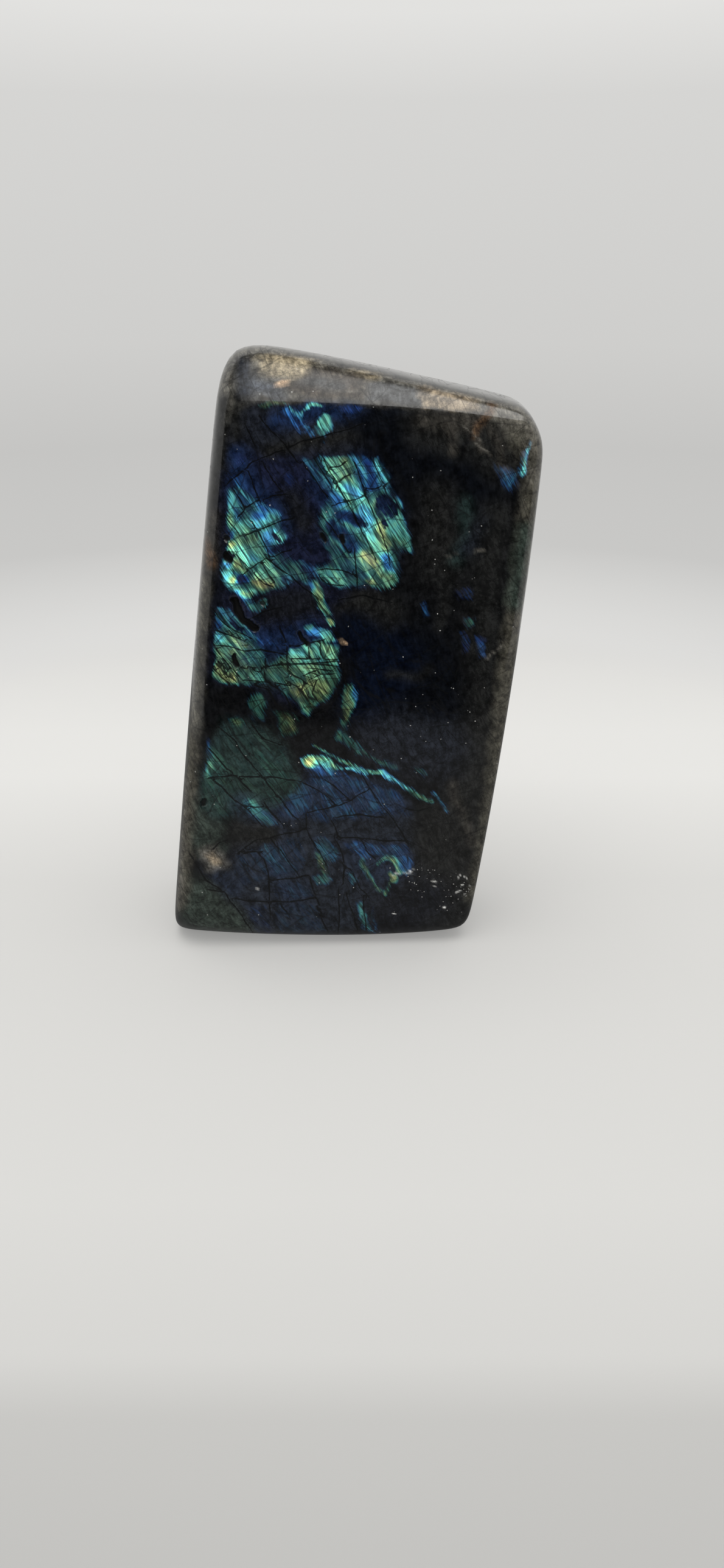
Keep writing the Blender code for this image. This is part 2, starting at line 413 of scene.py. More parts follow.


# Soft fields of the dark stone itself, the first ones lowest. The white specks near the end are painted
# glints, and the thin pale line along the foot is a painted highlight.
GROUND = (
    field(Ground.NAVY, 170, (440, 790), (470, 960), (440, 1080), soft=90),
    field(Ground.NAVY, 110, (540, 800), (590, 900), soft=60),
    field(Ground.INDIGO, 90, (430, 700), (590, 712), soft=50),
    field(Ground.BARK, 22, (440, 742), (520, 722), (590, 716), soft=26),
    field(Ground.NAVY, 60, (420, 785), (500, 800), soft=40),
    field(Ground.BLUE, 44, (385, 752), (402, 800), (430, 830), (470, 850), soft=44),
    field(Ground.BLUE, 50, (540, 790), (570, 860), (600, 930), soft=50),
    field(Ground.BLUE, 44, (600, 770), (640, 850), soft=44),
    field(Ground.BLUE, 50, (400, 1050), (470, 1060), (500, 1040), soft=50),
    field(Ground.TEAL, 40, (470, 1100), (440, 1110), soft=40),
    field(Ground.BLUE, 30, (455, 690), (520, 675), (590, 676), soft=30),
    field(Ground.COAL, 40, (480, 820), (500, 860), soft=34),
    field(Ground.COAL, 56, (505, 988), (440, 1000), soft=36),
    field(Ground.BLACK, 120, (640, 700), (700, 800), (790, 790), soft=70),
    field(Ground.BLACK, 110, (600, 1060), (700, 1080), (730, 1160), soft=70),
    field(Ground.DEEP, 90, (600, 1040), (650, 1090), (600, 1150), soft=60),
    field(Ground.BARK, 60, (720, 820), (724, 930), soft=60),
    field(Ground.BARK, 10, (706, 830), (722, 868), (728, 912), soft=26),
    field(Ground.BARK, 12, (728, 960), (732, 990), (722, 1030), soft=26),
    field(Ground.BARK, 8, (640, 1108), (690, 1112), (706, 1100), soft=24),
    field(Ground.TEAL, 14, (764, 826), (768, 880), (750, 920), soft=34),
    field(Ground.DUSK, 26, (800, 860), (770, 900), soft=34),
    field(Ground.BARK, 50, (820, 850), (800, 960), (790, 1180), (770, 1330), soft=60),
    field(Ground.BARK, 40, (600, 985), (640, 1010), soft=44),
    field(Ground.BARK, 12, (556, 1000), (600, 986), (640, 996), soft=30),
    field(Ground.PITCH, 60, (330, 1150), (400, 1150), (480, 1190), soft=36),
    field(Ground.PITCH, 40, (552, 1100), (530, 1150), (500, 1200), (560, 1232), (690, 1286), soft=26),
    field(Ground.INDIGO, 90, (640, 1215), (720, 1230), soft=70),
    area(Ground.TEAL, (369, 1181), (413, 1190), (440, 1200), (463, 1218), (479, 1248), (491, 1280),
         (500, 1303), (462, 1330), (430, 1350), (385, 1345), (345, 1352), (328, 1330), (326, 1290),
         (340, 1252), (352, 1212), soft=30),
    area(Ground.SLATE, (505, 1262), (560, 1262), (640, 1290), (672, 1320), (672, 1345), (520, 1352),
         (455, 1345), (460, 1320), (500, 1304), soft=34),
    area(Ground.DUSK, (420, 1345), (540, 1350), (672, 1345), (690, 1440), (640, 1490), (560, 1540),
         (410, 1545), (372, 1470), (384, 1400), soft=44),
    area(Ground.SLATE, (556, 1380), (668, 1386), (690, 1440), (640, 1460), (575, 1430), soft=36),
    field(Ground.SLATE, 40, (400, 1325), (452, 1350), soft=34),
    field(Ground.SLATE, 46, (445, 1400), (480, 1470), soft=40),
    field(Ground.SLATE, 30, (350, 1420), (380, 1460), soft=30),
    area(Ground.MOSS, (310, 1300), (352, 1350), (372, 1362), (366, 1392), (330, 1404), (306, 1380),
         soft=34),
    area(Ground.MOSS, (300, 1440), (345, 1455), (392, 1496), (418, 1538), (320, 1544), (298, 1500),
         soft=34),
    field(Ground.BARK, 40, (395, 1368), (440, 1372), soft=30),
    field(Ground.BARK, 110, (740, 1370), (715, 1500), soft=80),
    field(Ground.COAL, 80, (650, 1500), (700, 1480), soft=60),
    field(Ground.UMBER, 10, (742, 1290), (758, 1330), (776, 1385), soft=24),
    field(Ground.OLIVE, 30, (876, 780), (856, 960), (832, 1120), (818, 1260), (800, 1400), (784, 1470),
          soft=26),
    field(Ground.MOSS, 26, (862, 870), (846, 990), soft=24),
    field(Ground.BARK, 34, (350, 640), (346, 760), (342, 820), soft=26),
    field(Ground.UMBER, 30, (342, 850), (338, 930), soft=30),
    field(Ground.OLIVE, 26, (330, 960), (318, 1130), (306, 1330), (296, 1480), soft=24),
    field(Ground.STONE, 14, (300, 1290), (292, 1380), (290, 1480), soft=20),
    field(Ground.RUST, 14, (336, 890), (348, 925), soft=14),
    area(Ground.CAP, (352, 690), (356, 650), (370, 596), (410, 550), (470, 540), (640, 572), (780, 606),
         (860, 636), (896, 700), (900, 770), (868, 800), (858, 740), (835, 690), (780, 680), (694, 668),
         (600, 659), (520, 654), (430, 652), (404, 660), (384, 680), (366, 700), soft=26),
    field(Ground.CAP, 34, (800, 672), (826, 684), (846, 716), soft=44),
    field(Ground.BARK, 70, (700, 700), (790, 720), (830, 760), soft=50),
    field(Ground.UMBER, 12, (728, 676), (740, 704), (746, 740), soft=18),
    field(Ground.UMBER, 10, (806, 700), (822, 740), (832, 780), soft=16),
    field(Ground.UMBER, 8, (776, 700), (790, 740), soft=14),
    field(Ground.OLIVE, 24, (846, 716), (866, 750), soft=30),
    field(Ground.UMBER, 30, (700, 690), (775, 694), soft=26),
    field(Ground.BARK, 30, (362, 660), (360, 760), soft=24),
    field(Ground.BARK, 20, (390, 650), (386, 720), soft=30),
    field(Ground.STONE, 16, (530, 590), (556, 600), (610, 608), soft=18),
    field(Ground.STONE, 16, (640, 596), (700, 616), (780, 632), soft=18),
    field(Ground.DUSK, 30, (398, 596), (404, 640), soft=30),
    field(Ground.LILAC, 26, (420, 632), (456, 642), soft=26),
    area(Ground.TAUPE, (505, 604), (598, 616), (599, 655), (500, 652), (470, 636), soft=12),
    field(Ground.DOVE, 16, (505, 626), (560, 634), soft=18),
    area(Ground.DOVE, (601, 622), (692, 638), (692, 666), (601, 658), soft=9),
    area(Ground.BEIGE, (696, 634), (792, 655), (784, 676), (696, 670), soft=9),
    area(Ground.TAN, (424, 586), (500, 580), (522, 592), (508, 604), (490, 622), (455, 622), (436, 610),
         soft=10),
    area(Ground.TAN, (558, 590), (622, 600), (632, 612), (612, 622), (575, 606), soft=8),
    field(Ground.BEIGE, 14, (700, 622), (720, 628), soft=8),
    field(Ground.UMBER, 3, (516, 598), (630, 611), (696, 625), (753, 636), soft=6),
    field(Ground.TAUPE, 3, (694, 626), (692, 668), soft=6),
    field(Ground.STONE, 1, (551, 634), (556, 640), soft=4),
    field(Ground.STONE, 1, (560, 642), (566, 644), soft=4),
    field(Ground.STONE, 1, (572, 640), (580, 646), soft=4),
    field(Ground.FLESH, 6, (456, 625), (464, 630), (473, 637), soft=4),
    field(Ground.FLESH, 4, (560, 1052), (566, 1059), soft=5),
    area(Ground.STONE, (326, 1396), (356, 1390), (376, 1424), (340, 1430), soft=20),
    area(Ground.BEIGE, (338, 1406), (352, 1400), (364, 1418), (350, 1420), soft=10),
    field(Ground.UMBER, 8, (432, 655), (452, 664), (500, 655), soft=8),
    field(Ground.RUST, 10, (820, 652), (806, 672), (794, 690), (776, 716), soft=10),
    field(Ground.PITCH, 8, (772, 716), (753, 757), soft=10),
    field(Ground.STONE, 2, (754, 696), (770, 708), (788, 722), soft=4),
    field(Ground.STONE, 2, (780, 728), (807, 747), soft=4),
    field(Ground.STONE, 2, (738, 913), (751, 907), soft=4),
    field(Ground.STONE, 2, (781, 908), (794, 903), soft=4),
    field(Ground.STONE, 2, (798, 1080), (824, 1064), soft=4),
    # Painted highlight: a thin pale line along the foot's edge, where the polished edge mirrors the floor.
    field(Ground.STONE, 1, (333, 1532), (345, 1536), (420, 1540), soft=4),
    # Painted glints: white specks where tiny chips catch the light.
    field(Ground.GLINT_WHITE, 0.5, (648, 1439), (656, 1436), soft=4),
    field(Ground.GLINT_WHITE, 0.5, (662, 1434), (672, 1432), (680, 1429), soft=4),
    field(Ground.GLINT_WHITE, 2, (714, 1449), (716, 1449), soft=4),
    field(Ground.GLINT_WHITE, 0.5, (714, 1457), (715, 1458), soft=3),
    field(Ground.GLINT_WHITE, 0.5, (752, 1442), (755, 1439), soft=3),
    field(Ground.GLINT_WHITE, 0.5, (764, 1442), (766, 1444), soft=3),
    field(Ground.GLINT_WHITE, 0.5, (750, 1465), (756, 1463), soft=3),
    field(Ground.GLINT_WHITE, 0.5, (764, 1471), (766, 1470), soft=3),
    field(Ground.GLINT_WHITE, 0.5, (758, 1452), (759, 1452), soft=3),
    field(Ground.GLINT_WHITE, 0.5, (770, 1456), (771, 1457), soft=3),
    field(Ground.GLINT_WHITE, 1.5, (731, 1489), (732, 1490), soft=4),
    field(Ground.GLINT_WHITE, 0.5, (646, 1501), (648, 1502), soft=3),
    field(Ground.GLINT_WHITE, 0.5, (421, 1460), (425, 1462), soft=4),
)

# The outlines of the flashes, each with its main colour: the colour play's painted sheen, which also glows a
# little by itself.
FLASHES = (
    shape(Hue.TEAL, 0.27, (372, 800), (395, 800), (430, 822), (462, 846), (472, 880), (446, 905),
          (456, 926), (484, 950), (470, 968), (420, 977), (380, 972), (362, 950), (366, 920), (374, 880),
          soft=20),
    shape(Hue.TEAL, 0.25, (500, 752), (580, 748), (634, 760), (650, 830), (680, 905), (662, 905),
          (652, 960), (600, 968), (525, 962), (516, 930), (540, 920), (520, 860), (528, 830), (545, 812),
          soft=26),
    shape(Hue.GREEN, 0.3, (440, 1092), (476, 1066), (530, 1050), (557, 1060), (558, 1115), (540, 1148),
          (505, 1178), (484, 1152), (455, 1130), (430, 1112), soft=16),
    shape(Hue.GREEN, 0.28, (353, 1000), (380, 1005), (420, 1045), (438, 1070), (438, 1120), (395, 1128),
          (351, 1118), soft=16),
    shape(Hue.TEAL, 0.2, (420, 1135), (440, 1150), (436, 1186), (412, 1180), (404, 1150), soft=20),
    shape(Hue.LEAF, 0.2, (450, 1165), (490, 1175), (492, 1205), (462, 1210), soft=20),
    strand(Hue.GREEN, 0.24, (16, 6), (574, 1140), (566, 1180), (568, 1212), (590, 1236), (622, 1250),
           (650, 1262), soft=24),
    strand(Hue.BLUE, 0.3, (20, 12), (540, 1278), (600, 1290), (660, 1312), soft=20),
    shape(Hue.TEAL, 0.08, (369, 1185), (413, 1192), (440, 1202), (463, 1220), (485, 1262), (498, 1303),
          (462, 1328), (430, 1345), (385, 1342), (345, 1345), (328, 1330), (326, 1290), (340, 1252),
          (352, 1212), soft=26),
    shape(Hue.TEAL, 0.17, (342, 1228), (362, 1230), (372, 1262), (360, 1300), (342, 1290), soft=20),
    shape(Hue.TEAL, 0.16, (425, 1232), (462, 1234), (478, 1275), (455, 1292), (432, 1270), soft=20),
    shape(Hue.BLUE, 0.22, (505, 1272), (560, 1280), (640, 1298), (672, 1338), (520, 1350), (458, 1342),
          (470, 1312), soft=24),
    shape(Hue.BLUE, 0.13, (384, 1408), (436, 1388), (498, 1370), (505, 1430), (444, 1440), (392, 1462),
          soft=14),
    shape(Hue.DEEP_BLUE, 0.2, (400, 1486), (440, 1486), (446, 1532), (424, 1536), soft=14),
    shape(Hue.BLUE, 0.1, (450, 1486), (520, 1484), (540, 1532), (456, 1536), soft=14),
    shape(Hue.BLUE, 0.13, (450, 1452), (508, 1444), (516, 1474), (450, 1478), soft=12),
    shape(Hue.LEAF, 0.24, (424, 663), (445, 659), (464, 657), (468, 663), (450, 668), (429, 671)),
    shape(Hue.BLUE, 0.85, (461, 670), (472, 668), (482, 684), (502, 714), (495, 716), (476, 692),
          (464, 678)),
    shape(Hue.GREEN, 0.8, (471, 662), (484, 671), (493, 676), (499, 667), (510, 661), (524, 661),
          (532, 668), (524, 672), (508, 671), (500, 676), (497, 684), (490, 684), (480, 676)),
    shape(Hue.SKY, 0.85, (486, 677), (497, 681), (508, 698), (519, 717), (512, 720), (500, 702)),
    shape(Hue.TEAL, 0.6, (524, 683), (536, 679), (546, 684), (550, 696), (545, 708), (533, 718),
          (520, 714), (516, 700)),
    shape(Hue.SKY, 0.22, (525, 720), (537, 720), (535, 731), (527, 730)),
    shape(Hue.INDIGO, 0.5, (552, 664), (594, 670), (590, 680), (562, 676)),
    shape(Hue.INDIGO, 0.6, (382, 745), (399, 743), (410, 752), (403, 762), (391, 768), (383, 762)),
    shape(Hue.BLUE, 0.5, (382, 784), (393, 779), (405, 783), (413, 800), (401, 808), (388, 799)),
    shape(Hue.DEEP_BLUE, 0.5, (463, 776), (475, 776), (487, 792), (483, 800), (472, 796)),
    shape(Hue.SKY, 0.34, (496, 754), (508, 756), (538, 804), (530, 811), (512, 788)),
    shape(Hue.SKY, 0.38, (515, 752), (528, 752), (550, 800), (540, 804)),
    shape(Hue.TEAL, 0.72, (535, 752), (567, 747), (578, 753), (585, 772), (595, 801), (601, 822),
          (613, 846), (625, 866), (637, 890), (640, 905), (645, 930), (647, 958), (630, 964), (608, 958),
          (598, 930), (590, 890), (578, 862), (565, 832), (552, 805), (541, 778)),
    shape(Hue.BLUE, 0.6, (577, 751), (587, 753), (598, 784), (604, 806), (597, 806), (588, 782)),
    shape(Hue.BLUE, 0.62, (543, 812), (552, 803), (561, 812), (568, 824), (558, 834), (548, 832)),
    shape(Hue.TEAL, 0.5, (527, 836), (545, 836), (562, 850), (578, 872), (594, 905), (600, 940),
          (585, 948), (562, 920), (545, 884), (530, 862)),
    shape(Hue.CYAN, 0.84, (612, 752), (622, 747), (627, 762), (633, 790), (642, 810), (630, 806),
          (618, 780)),
    shape(Hue.DEEP_BLUE, 0.6, (597, 750), (612, 756), (622, 804), (604, 808)),
    shape(Hue.LEAF, 0.72, (609, 829), (616, 820), (625, 814), (622, 829), (614, 834)),
    shape(Hue.TEAL, 0.62, (641, 822), (653, 817), (666, 848), (678, 900), (675, 907), (660, 880),
          (648, 855)),
    shape(Hue.TEAL, 0.5, (626, 850), (642, 850), (655, 870), (664, 895), (652, 892), (634, 868)),
    shape(Hue.BLUE, 0.85, (624, 915), (635, 909), (645, 918), (648, 940), (637, 941), (628, 929)),
    shape(Hue.TEAL, 0.54, (520, 937), (543, 930), (575, 938), (587, 948), (578, 961), (539, 961),
          (527, 948)),
    shape(Hue.TEAL, 0.8, (377, 805), (386, 812), (383, 830), (380, 847), (389, 859), (401, 873),
          (393, 879), (374, 860), (373, 838), (374, 818)),
    shape(Hue.SKY, 0.46, (388, 808), (409, 811), (418, 824), (407, 833), (396, 837), (389, 828)),
    shape(Hue.BLUE, 0.85, (422, 827), (436, 829), (454, 839), (461, 849), (451, 850), (439, 843),
          (427, 837)),
    shape(Hue.CYAN, 0.88, (385, 861), (411, 853), (423, 842), (436, 845), (449, 856), (443, 865),
          (428, 870), (409, 876), (401, 880), (392, 876)),
    shape(Hue.BLUE, 0.55, (375, 875), (383, 876), (382, 886), (374, 884)),
    shape(Hue.GREEN, 0.4, (383, 882), (409, 876), (424, 873), (432, 892), (437, 908), (428, 914),
          (411, 903), (394, 891)),
    shape(Hue.SKY, 0.95, (430, 874), (442, 868), (454, 870), (464, 879), (470, 888), (460, 893),
          (448, 894), (438, 901), (433, 888)),
    shape(Hue.BLUE, 0.6, (436, 899), (443, 900), (449, 907), (462, 906), (462, 912), (447, 915),
          (439, 909)),
    shape(Hue.TEAL, 0.95, (375, 890), (388, 886), (402, 896), (417, 908), (431, 919), (428, 924),
          (409, 932), (399, 941), (388, 935), (383, 926), (387, 911), (377, 902)),
    shape(Hue.BLUE, 0.85, (366, 925), (378, 922), (386, 931), (376, 937), (367, 935)),
    shape(Hue.SKY, 0.95, (364, 939), (377, 940), (396, 944), (387, 957), (377, 965), (366, 957)),
    shape(Hue.INDIGO, 0.7, (388, 950), (401, 944), (410, 958), (389, 959)),
    shape(Hue.GREEN, 0.74, (417, 943), (436, 919), (455, 930), (480, 949), (469, 964), (452, 962),
          (428, 965), (411, 955)),
    shape(Hue.SKY, 0.9, (383, 967), (401, 970), (418, 972), (413, 983), (399, 987), (390, 979)),
    shape(Hue.TEAL, 0.42, (401, 990), (420, 987), (440, 982), (443, 995), (428, 1009), (412, 1002)),
    shape(Hue.SKY, 0.42, (355, 997), (367, 996), (384, 1012), (393, 1026), (416, 1040), (420, 1050),
          (390, 1038), (366, 1024), (356, 1012)),
    shape(Hue.TEAL, 0.4, (366, 1014), (392, 1030), (414, 1046), (402, 1048), (380, 1038), (362, 1024),
          soft=8),
    shape(Hue.BLUE, 0.6, (354, 1012), (363, 1018), (365, 1035), (354, 1034)),
    shape(Hue.SKY, 0.72, (354, 1037), (369, 1040), (387, 1047), (404, 1058), (405, 1067), (383, 1062),
          (355, 1055), soft=8),
    shape(Hue.GREEN, 0.46, (354, 1062), (385, 1065), (400, 1073), (398, 1080), (376, 1078), (353, 1084),
          soft=8),
    shape(Hue.GREEN, 0.6, (352, 1088), (366, 1087), (378, 1098), (392, 1118), (390, 1128), (372, 1122),
          (351, 1114), soft=8),
    shape(Hue.TEAL, 0.44, (410, 1066), (426, 1067), (434, 1081), (430, 1092), (411, 1089), soft=8),
    shape(Hue.TEAL, 0.46, (398, 1099), (433, 1100), (434, 1117), (400, 1116), soft=8),
    shape(Hue.TEAL, 0.3, (440, 1102), (462, 1100), (482, 1112), (480, 1130), (456, 1124), (440, 1114),
          soft=8),
    shape(Hue.DEEP_BLUE, 0.6, (428, 1050), (446, 1050), (452, 1060), (436, 1064)),
    shape(Hue.TEAL, 0.3, (500, 1024), (516, 1025), (514, 1036), (502, 1034), soft=8),
    shape(Hue.DEEP_BLUE, 0.5, (424, 1046), (444, 1046), (451, 1059), (432, 1064)),
    shape(Hue.BLUE, 0.74, (505, 1034), (519, 1031), (530, 1033), (529, 1046), (518, 1047), (507, 1042),
          soft=8),
    shape(Hue.SKY, 0.5, (488, 919), (498, 917), (513, 930), (526, 947), (519, 951), (504, 937),
          (490, 928)),
    shape(Hue.LEAF, 0.66, (504, 957), (519, 952), (528, 968), (537, 990), (546, 1008), (534, 1012),
          (524, 996), (512, 974), soft=8),
    shape(Hue.LEAF, 0.76, (533, 1014), (545, 1011), (552, 1028), (540, 1029), soft=7),
    shape(Hue.GREEN, 0.78, (529, 1036), (541, 1033), (550, 1042), (552, 1054), (538, 1052), (528, 1046),
          soft=7),
    shape(Hue.TEAL, 0.5, (476, 1066), (492, 1062), (506, 1062), (507, 1077), (490, 1083), (478, 1080),
          soft=8),
    shape(Hue.TEAL, 0.62, (508, 1060), (527, 1058), (526, 1078), (510, 1080), soft=7),
    shape(Hue.GREEN, 0.74, (528, 1058), (545, 1056), (554, 1066), (554, 1080), (528, 1081), soft=7),
    shape(Hue.TEAL, 0.54, (484, 1085), (520, 1083), (557, 1084), (557, 1092), (520, 1089), (482, 1091),
          soft=6),
    shape(Hue.GREEN, 0.52, (480, 1093), (520, 1092), (546, 1096), (541, 1105), (510, 1107), (494, 1112),
          (480, 1104), soft=7),
    shape(Hue.GREEN, 0.5, (512, 1110), (540, 1107), (553, 1100), (556, 1112), (542, 1118), (508, 1118),
          soft=7),
    shape(Hue.LEAF, 0.42, (474, 1122), (500, 1120), (540, 1121), (538, 1138), (526, 1152), (505, 1150),
          (480, 1138)),
    shape(Hue.GREEN, 0.4, (490, 1156), (508, 1153), (518, 1158), (506, 1174), (495, 1168), soft=8),
    shape(Hue.TEAL, 0.22, (412, 1141), (428, 1139), (435, 1155), (430, 1171), (416, 1165)),
    shape(Hue.LEAF, 0.22, (462, 1169), (478, 1175), (485, 1190), (474, 1204), (461, 1195)),
    shape(Hue.LEAF, 0.3, (375, 1177), (390, 1177), (407, 1187), (395, 1195), (383, 1190)),
    shape(Hue.LEAF, 0.36, (568, 1121), (580, 1128), (587, 1147), (580, 1164), (572, 1188), (561, 1191),
          (560, 1163)),
    shape(Hue.BLUE, 0.55, (581, 1129), (588, 1134), (591, 1150), (585, 1162), (579, 1150)),
    shape(Hue.TEAL, 0.26, (550, 1198), (570, 1205), (590, 1222), (602, 1240), (590, 1241), (570, 1228),
          (551, 1214)),
    shape(Hue.GREEN, 0.32, (614, 1245), (633, 1249), (632, 1257), (620, 1252)),
    shape(Hue.TEAL, 0.26, (677, 1254), (690, 1260), (709, 1276), (700, 1278), (685, 1268)),
    shape(Hue.LEAF, 0.9, (495, 1244), (507, 1239), (523, 1241), (539, 1246), (553, 1254), (568, 1265),
          (552, 1262), (539, 1260), (523, 1263), (509, 1262), (500, 1255)),
    shape(Hue.BLUE, 0.6, (511, 1264), (527, 1260), (543, 1259), (559, 1267), (572, 1275), (560, 1279),
          (544, 1275), (526, 1271)),
    shape(Hue.GREEN, 0.8, (338, 1252), (348, 1251), (350, 1262), (345, 1275), (338, 1268)),
    shape(Hue.BLUE, 0.35, (340, 1210), (345, 1212), (348, 1235), (350, 1249), (344, 1247), (341, 1235)),
    shape(Hue.SKY, 0.2, (434, 1384), (444, 1380), (459, 1395), (473, 1413), (485, 1431), (470, 1437),
          (452, 1441), (442, 1425), (433, 1408)),
    shape(Hue.SKY, 0.26, (512, 1374), (526, 1371), (541, 1377), (553, 1391), (560, 1410), (545, 1419),
          (532, 1410), (520, 1396)),
    shape(Hue.SKY, 0.24, (397, 1317), (412, 1313), (430, 1323), (448, 1341), (460, 1355), (440, 1361),
          (420, 1351), (405, 1335)),
    shape(Hue.LEAF, 0.28, (517, 1398), (530, 1408), (537, 1422), (546, 1436), (530, 1438), (520, 1425)),
    shape(Hue.TEAL, 0.36, (514, 1439), (535, 1436), (549, 1442), (541, 1455), (520, 1456)),
    shape(Hue.BLUE, 0.36, (561, 1382), (617, 1385), (664, 1388), (678, 1402), (682, 1426), (668, 1440),
          (655, 1425), (642, 1407), (620, 1405), (600, 1412), (576, 1402)),
    shape(Hue.CYAN, 0.34, (587, 1482), (597, 1478), (605, 1500), (612, 1532), (600, 1534), (590, 1525)),
    shape(Hue.SKY, 0.3, (610, 1490), (616, 1496), (621, 1532), (615, 1532)),
    shape(Hue.CYAN, 0.3, (566, 1434), (580, 1430), (590, 1448), (578, 1456)),
    shape(Hue.CYAN, 0.7, (869, 723), (873, 727), (866, 768), (859, 786), (853, 776), soft=7),
    shape(Hue.BLUE, 0.34, (812, 762), (826, 768), (854, 776), (852, 802), (838, 812), (824, 796),
          soft=24),
    strand(Hue.SKY, 0.34, (5, 2), (862, 742), (848, 778), (836, 800), soft=8),
    shape(Hue.BLUE, 0.36, (692, 991), (700, 990), (705, 1010), (698, 1019), (692, 1012)),
    shape(Hue.TEAL, 0.2, (762, 1018), (781, 1012), (782, 1030), (768, 1036)),
    shape(Hue.DEEP_BLUE, 0.28, (755, 1036), (768, 1036), (772, 1070), (762, 1076)),
    shape(Hue.DEEP_BLUE, 0.34, (779, 1044), (800, 1046), (798, 1078), (784, 1084)),
    shape(Hue.DEEP_BLUE, 0.24, (747, 966), (778, 964), (780, 986), (752, 988)),
    strand(Hue.LEAF, 0.6, 5, (517, 1226), (535, 1236), (553, 1244), (570, 1251), (588, 1261)),
    strand(Hue.CYAN, 0.8, 8, (572, 1264), (592, 1265), (612, 1267), (630, 1270), (642, 1279),
           (658, 1287), (674, 1297)),
    strand(Hue.GREEN, 0.34, (10, 7), (678, 1301), (696, 1311), (709, 1318)),
    strand(Hue.CYAN, 0.75, 6, (710, 1304), (722, 1317), (735, 1330)),
    strand(Hue.LEAF, 0.42, 8, (620, 1420), (634, 1409), (648, 1415), (657, 1431), (647, 1449)),
    strand(Hue.LEAF, 0.35, 8, (593, 1414), (604, 1432), (616, 1452), (624, 1463)),
    strand(Hue.LEAF, 0.3, 7, (642, 1448), (632, 1470)),
    strand(Hue.YELLOW, 0.4, 7, (641, 1436), (646, 1442)),
    strand(Hue.SKY, 0.4, 5, (446, 920), (480, 946)),
    shape(Hue.TEAL, 0.24, (452, 905), (478, 915), (512, 948), (500, 962), (470, 950), (448, 928),
          soft=20),
)

# Soft changes of colour and brightness inside the flashes.
TINTS = (
    tint(Hue.LEAF, 0.62, 16, (566, 756), (572, 790)),
    tint(Hue.GREEN, 0.7, 22, (548, 762), (560, 790)),
    tint(Hue.SKY, 0.85, 16, (570, 800), (590, 816)),
    tint(Hue.SKY, 0.95, 18, (596, 838), (606, 852)),
    tint(Hue.CYAN, 0.85, 20, (604, 862), (612, 880)),
    tint(Hue.LEAF, 0.78, 18, (626, 866), (634, 898)),
    tint(Hue.LEAF, 0.6, 24, (604, 914), (618, 934)),
    tint(Hue.GREEN, 0.5, 26, (622, 950), (638, 958)),
    tint(Hue.YELLOW, 0.6, 9, (602, 954), (608, 956)),
    tint(Hue.TEAL, 0.3, 30, (562, 915), (584, 945)),
    tint(Hue.BLUE, 0.16, 22, (546, 862), (580, 900)),
    tint(Hue.DEEP_BLUE, 0.2, 16, (588, 856), (560, 846)),
    tint(Hue.LEAF, 0.85, 10, (378, 850), (384, 862)),
    tint(Hue.SKY, 0.7, 10, (386, 836), (392, 852)),
    tint(Hue.BLUE, 0.75, 12, (420, 846), (432, 846)),
    tint(Hue.GREEN, 0.8, 14, (388, 866), (404, 870)),
    tint(Hue.YELLOW, 0.8, 8, (377, 892), (384, 893)),
    tint(Hue.LEAF, 0.85, 12, (388, 930), (400, 936)),
    tint(Hue.CYAN, 0.9, 12, (416, 914), (426, 920)),
    tint(Hue.TEAL, 0.95, 10, (458, 880), (466, 888)),
    tint(Hue.CYAN, 0.8, 8, (452, 844), (458, 848)),
    tint(Hue.YELLOW, 0.85, 8, (378, 952), (384, 953)),
    tint(Hue.CYAN, 0.9, 8, (368, 958), (374, 960)),
    tint(Hue.SKY, 0.4, 18, (470, 952), (474, 956)),
    tint(Hue.YELLOW, 0.42, 10, (418, 956), (446, 962)),
    tint(Hue.LEAF, 0.85, 12, (402, 976), (412, 978)),
    tint(Hue.LEAF, 0.6, 14, (376, 1050), (400, 1060)),
    tint(Hue.LEAF, 0.6, 14, (360, 1096), (376, 1116)),
    tint(Hue.YELLOW, 0.9, 7, (380, 1106), (383, 1118)),
    tint(Hue.BLUE, 0.6, 10, (508, 960), (511, 966)),
    tint(Hue.CYAN, 0.85, 8, (531, 1036), (534, 1044)),
    tint(Hue.CYAN, 0.6, 14, (484, 1072), (500, 1070)),
    tint(Hue.CYAN, 0.9, 10, (520, 1254), (536, 1256)),
    tint(Hue.YELLOW, 0.9, 8, (504, 1250), (508, 1254)),
    tint(Hue.LEAF, 0.85, 6, (608, 1266), (622, 1268)),
    tint(Hue.SKY, 0.85, 6, (600, 1272), (640, 1282)),
    tint(Hue.CYAN, 0.4, 12, (420, 1330), (414, 1322)),
)

# Dark spots that hide the flashes.
CUTS = (
    cut(20, (511, 680), (514, 692)),
    cut(26, (630, 824), (643, 840)),
    cut(10, (631, 860), (634, 866)),
    cut(7, (452, 879), (458, 888)),
    cut(8, (378, 905), (383, 915)),
    cut(6, (381, 1022), (398, 1038)),
    cut(10, (603, 862), (580, 850)),
)

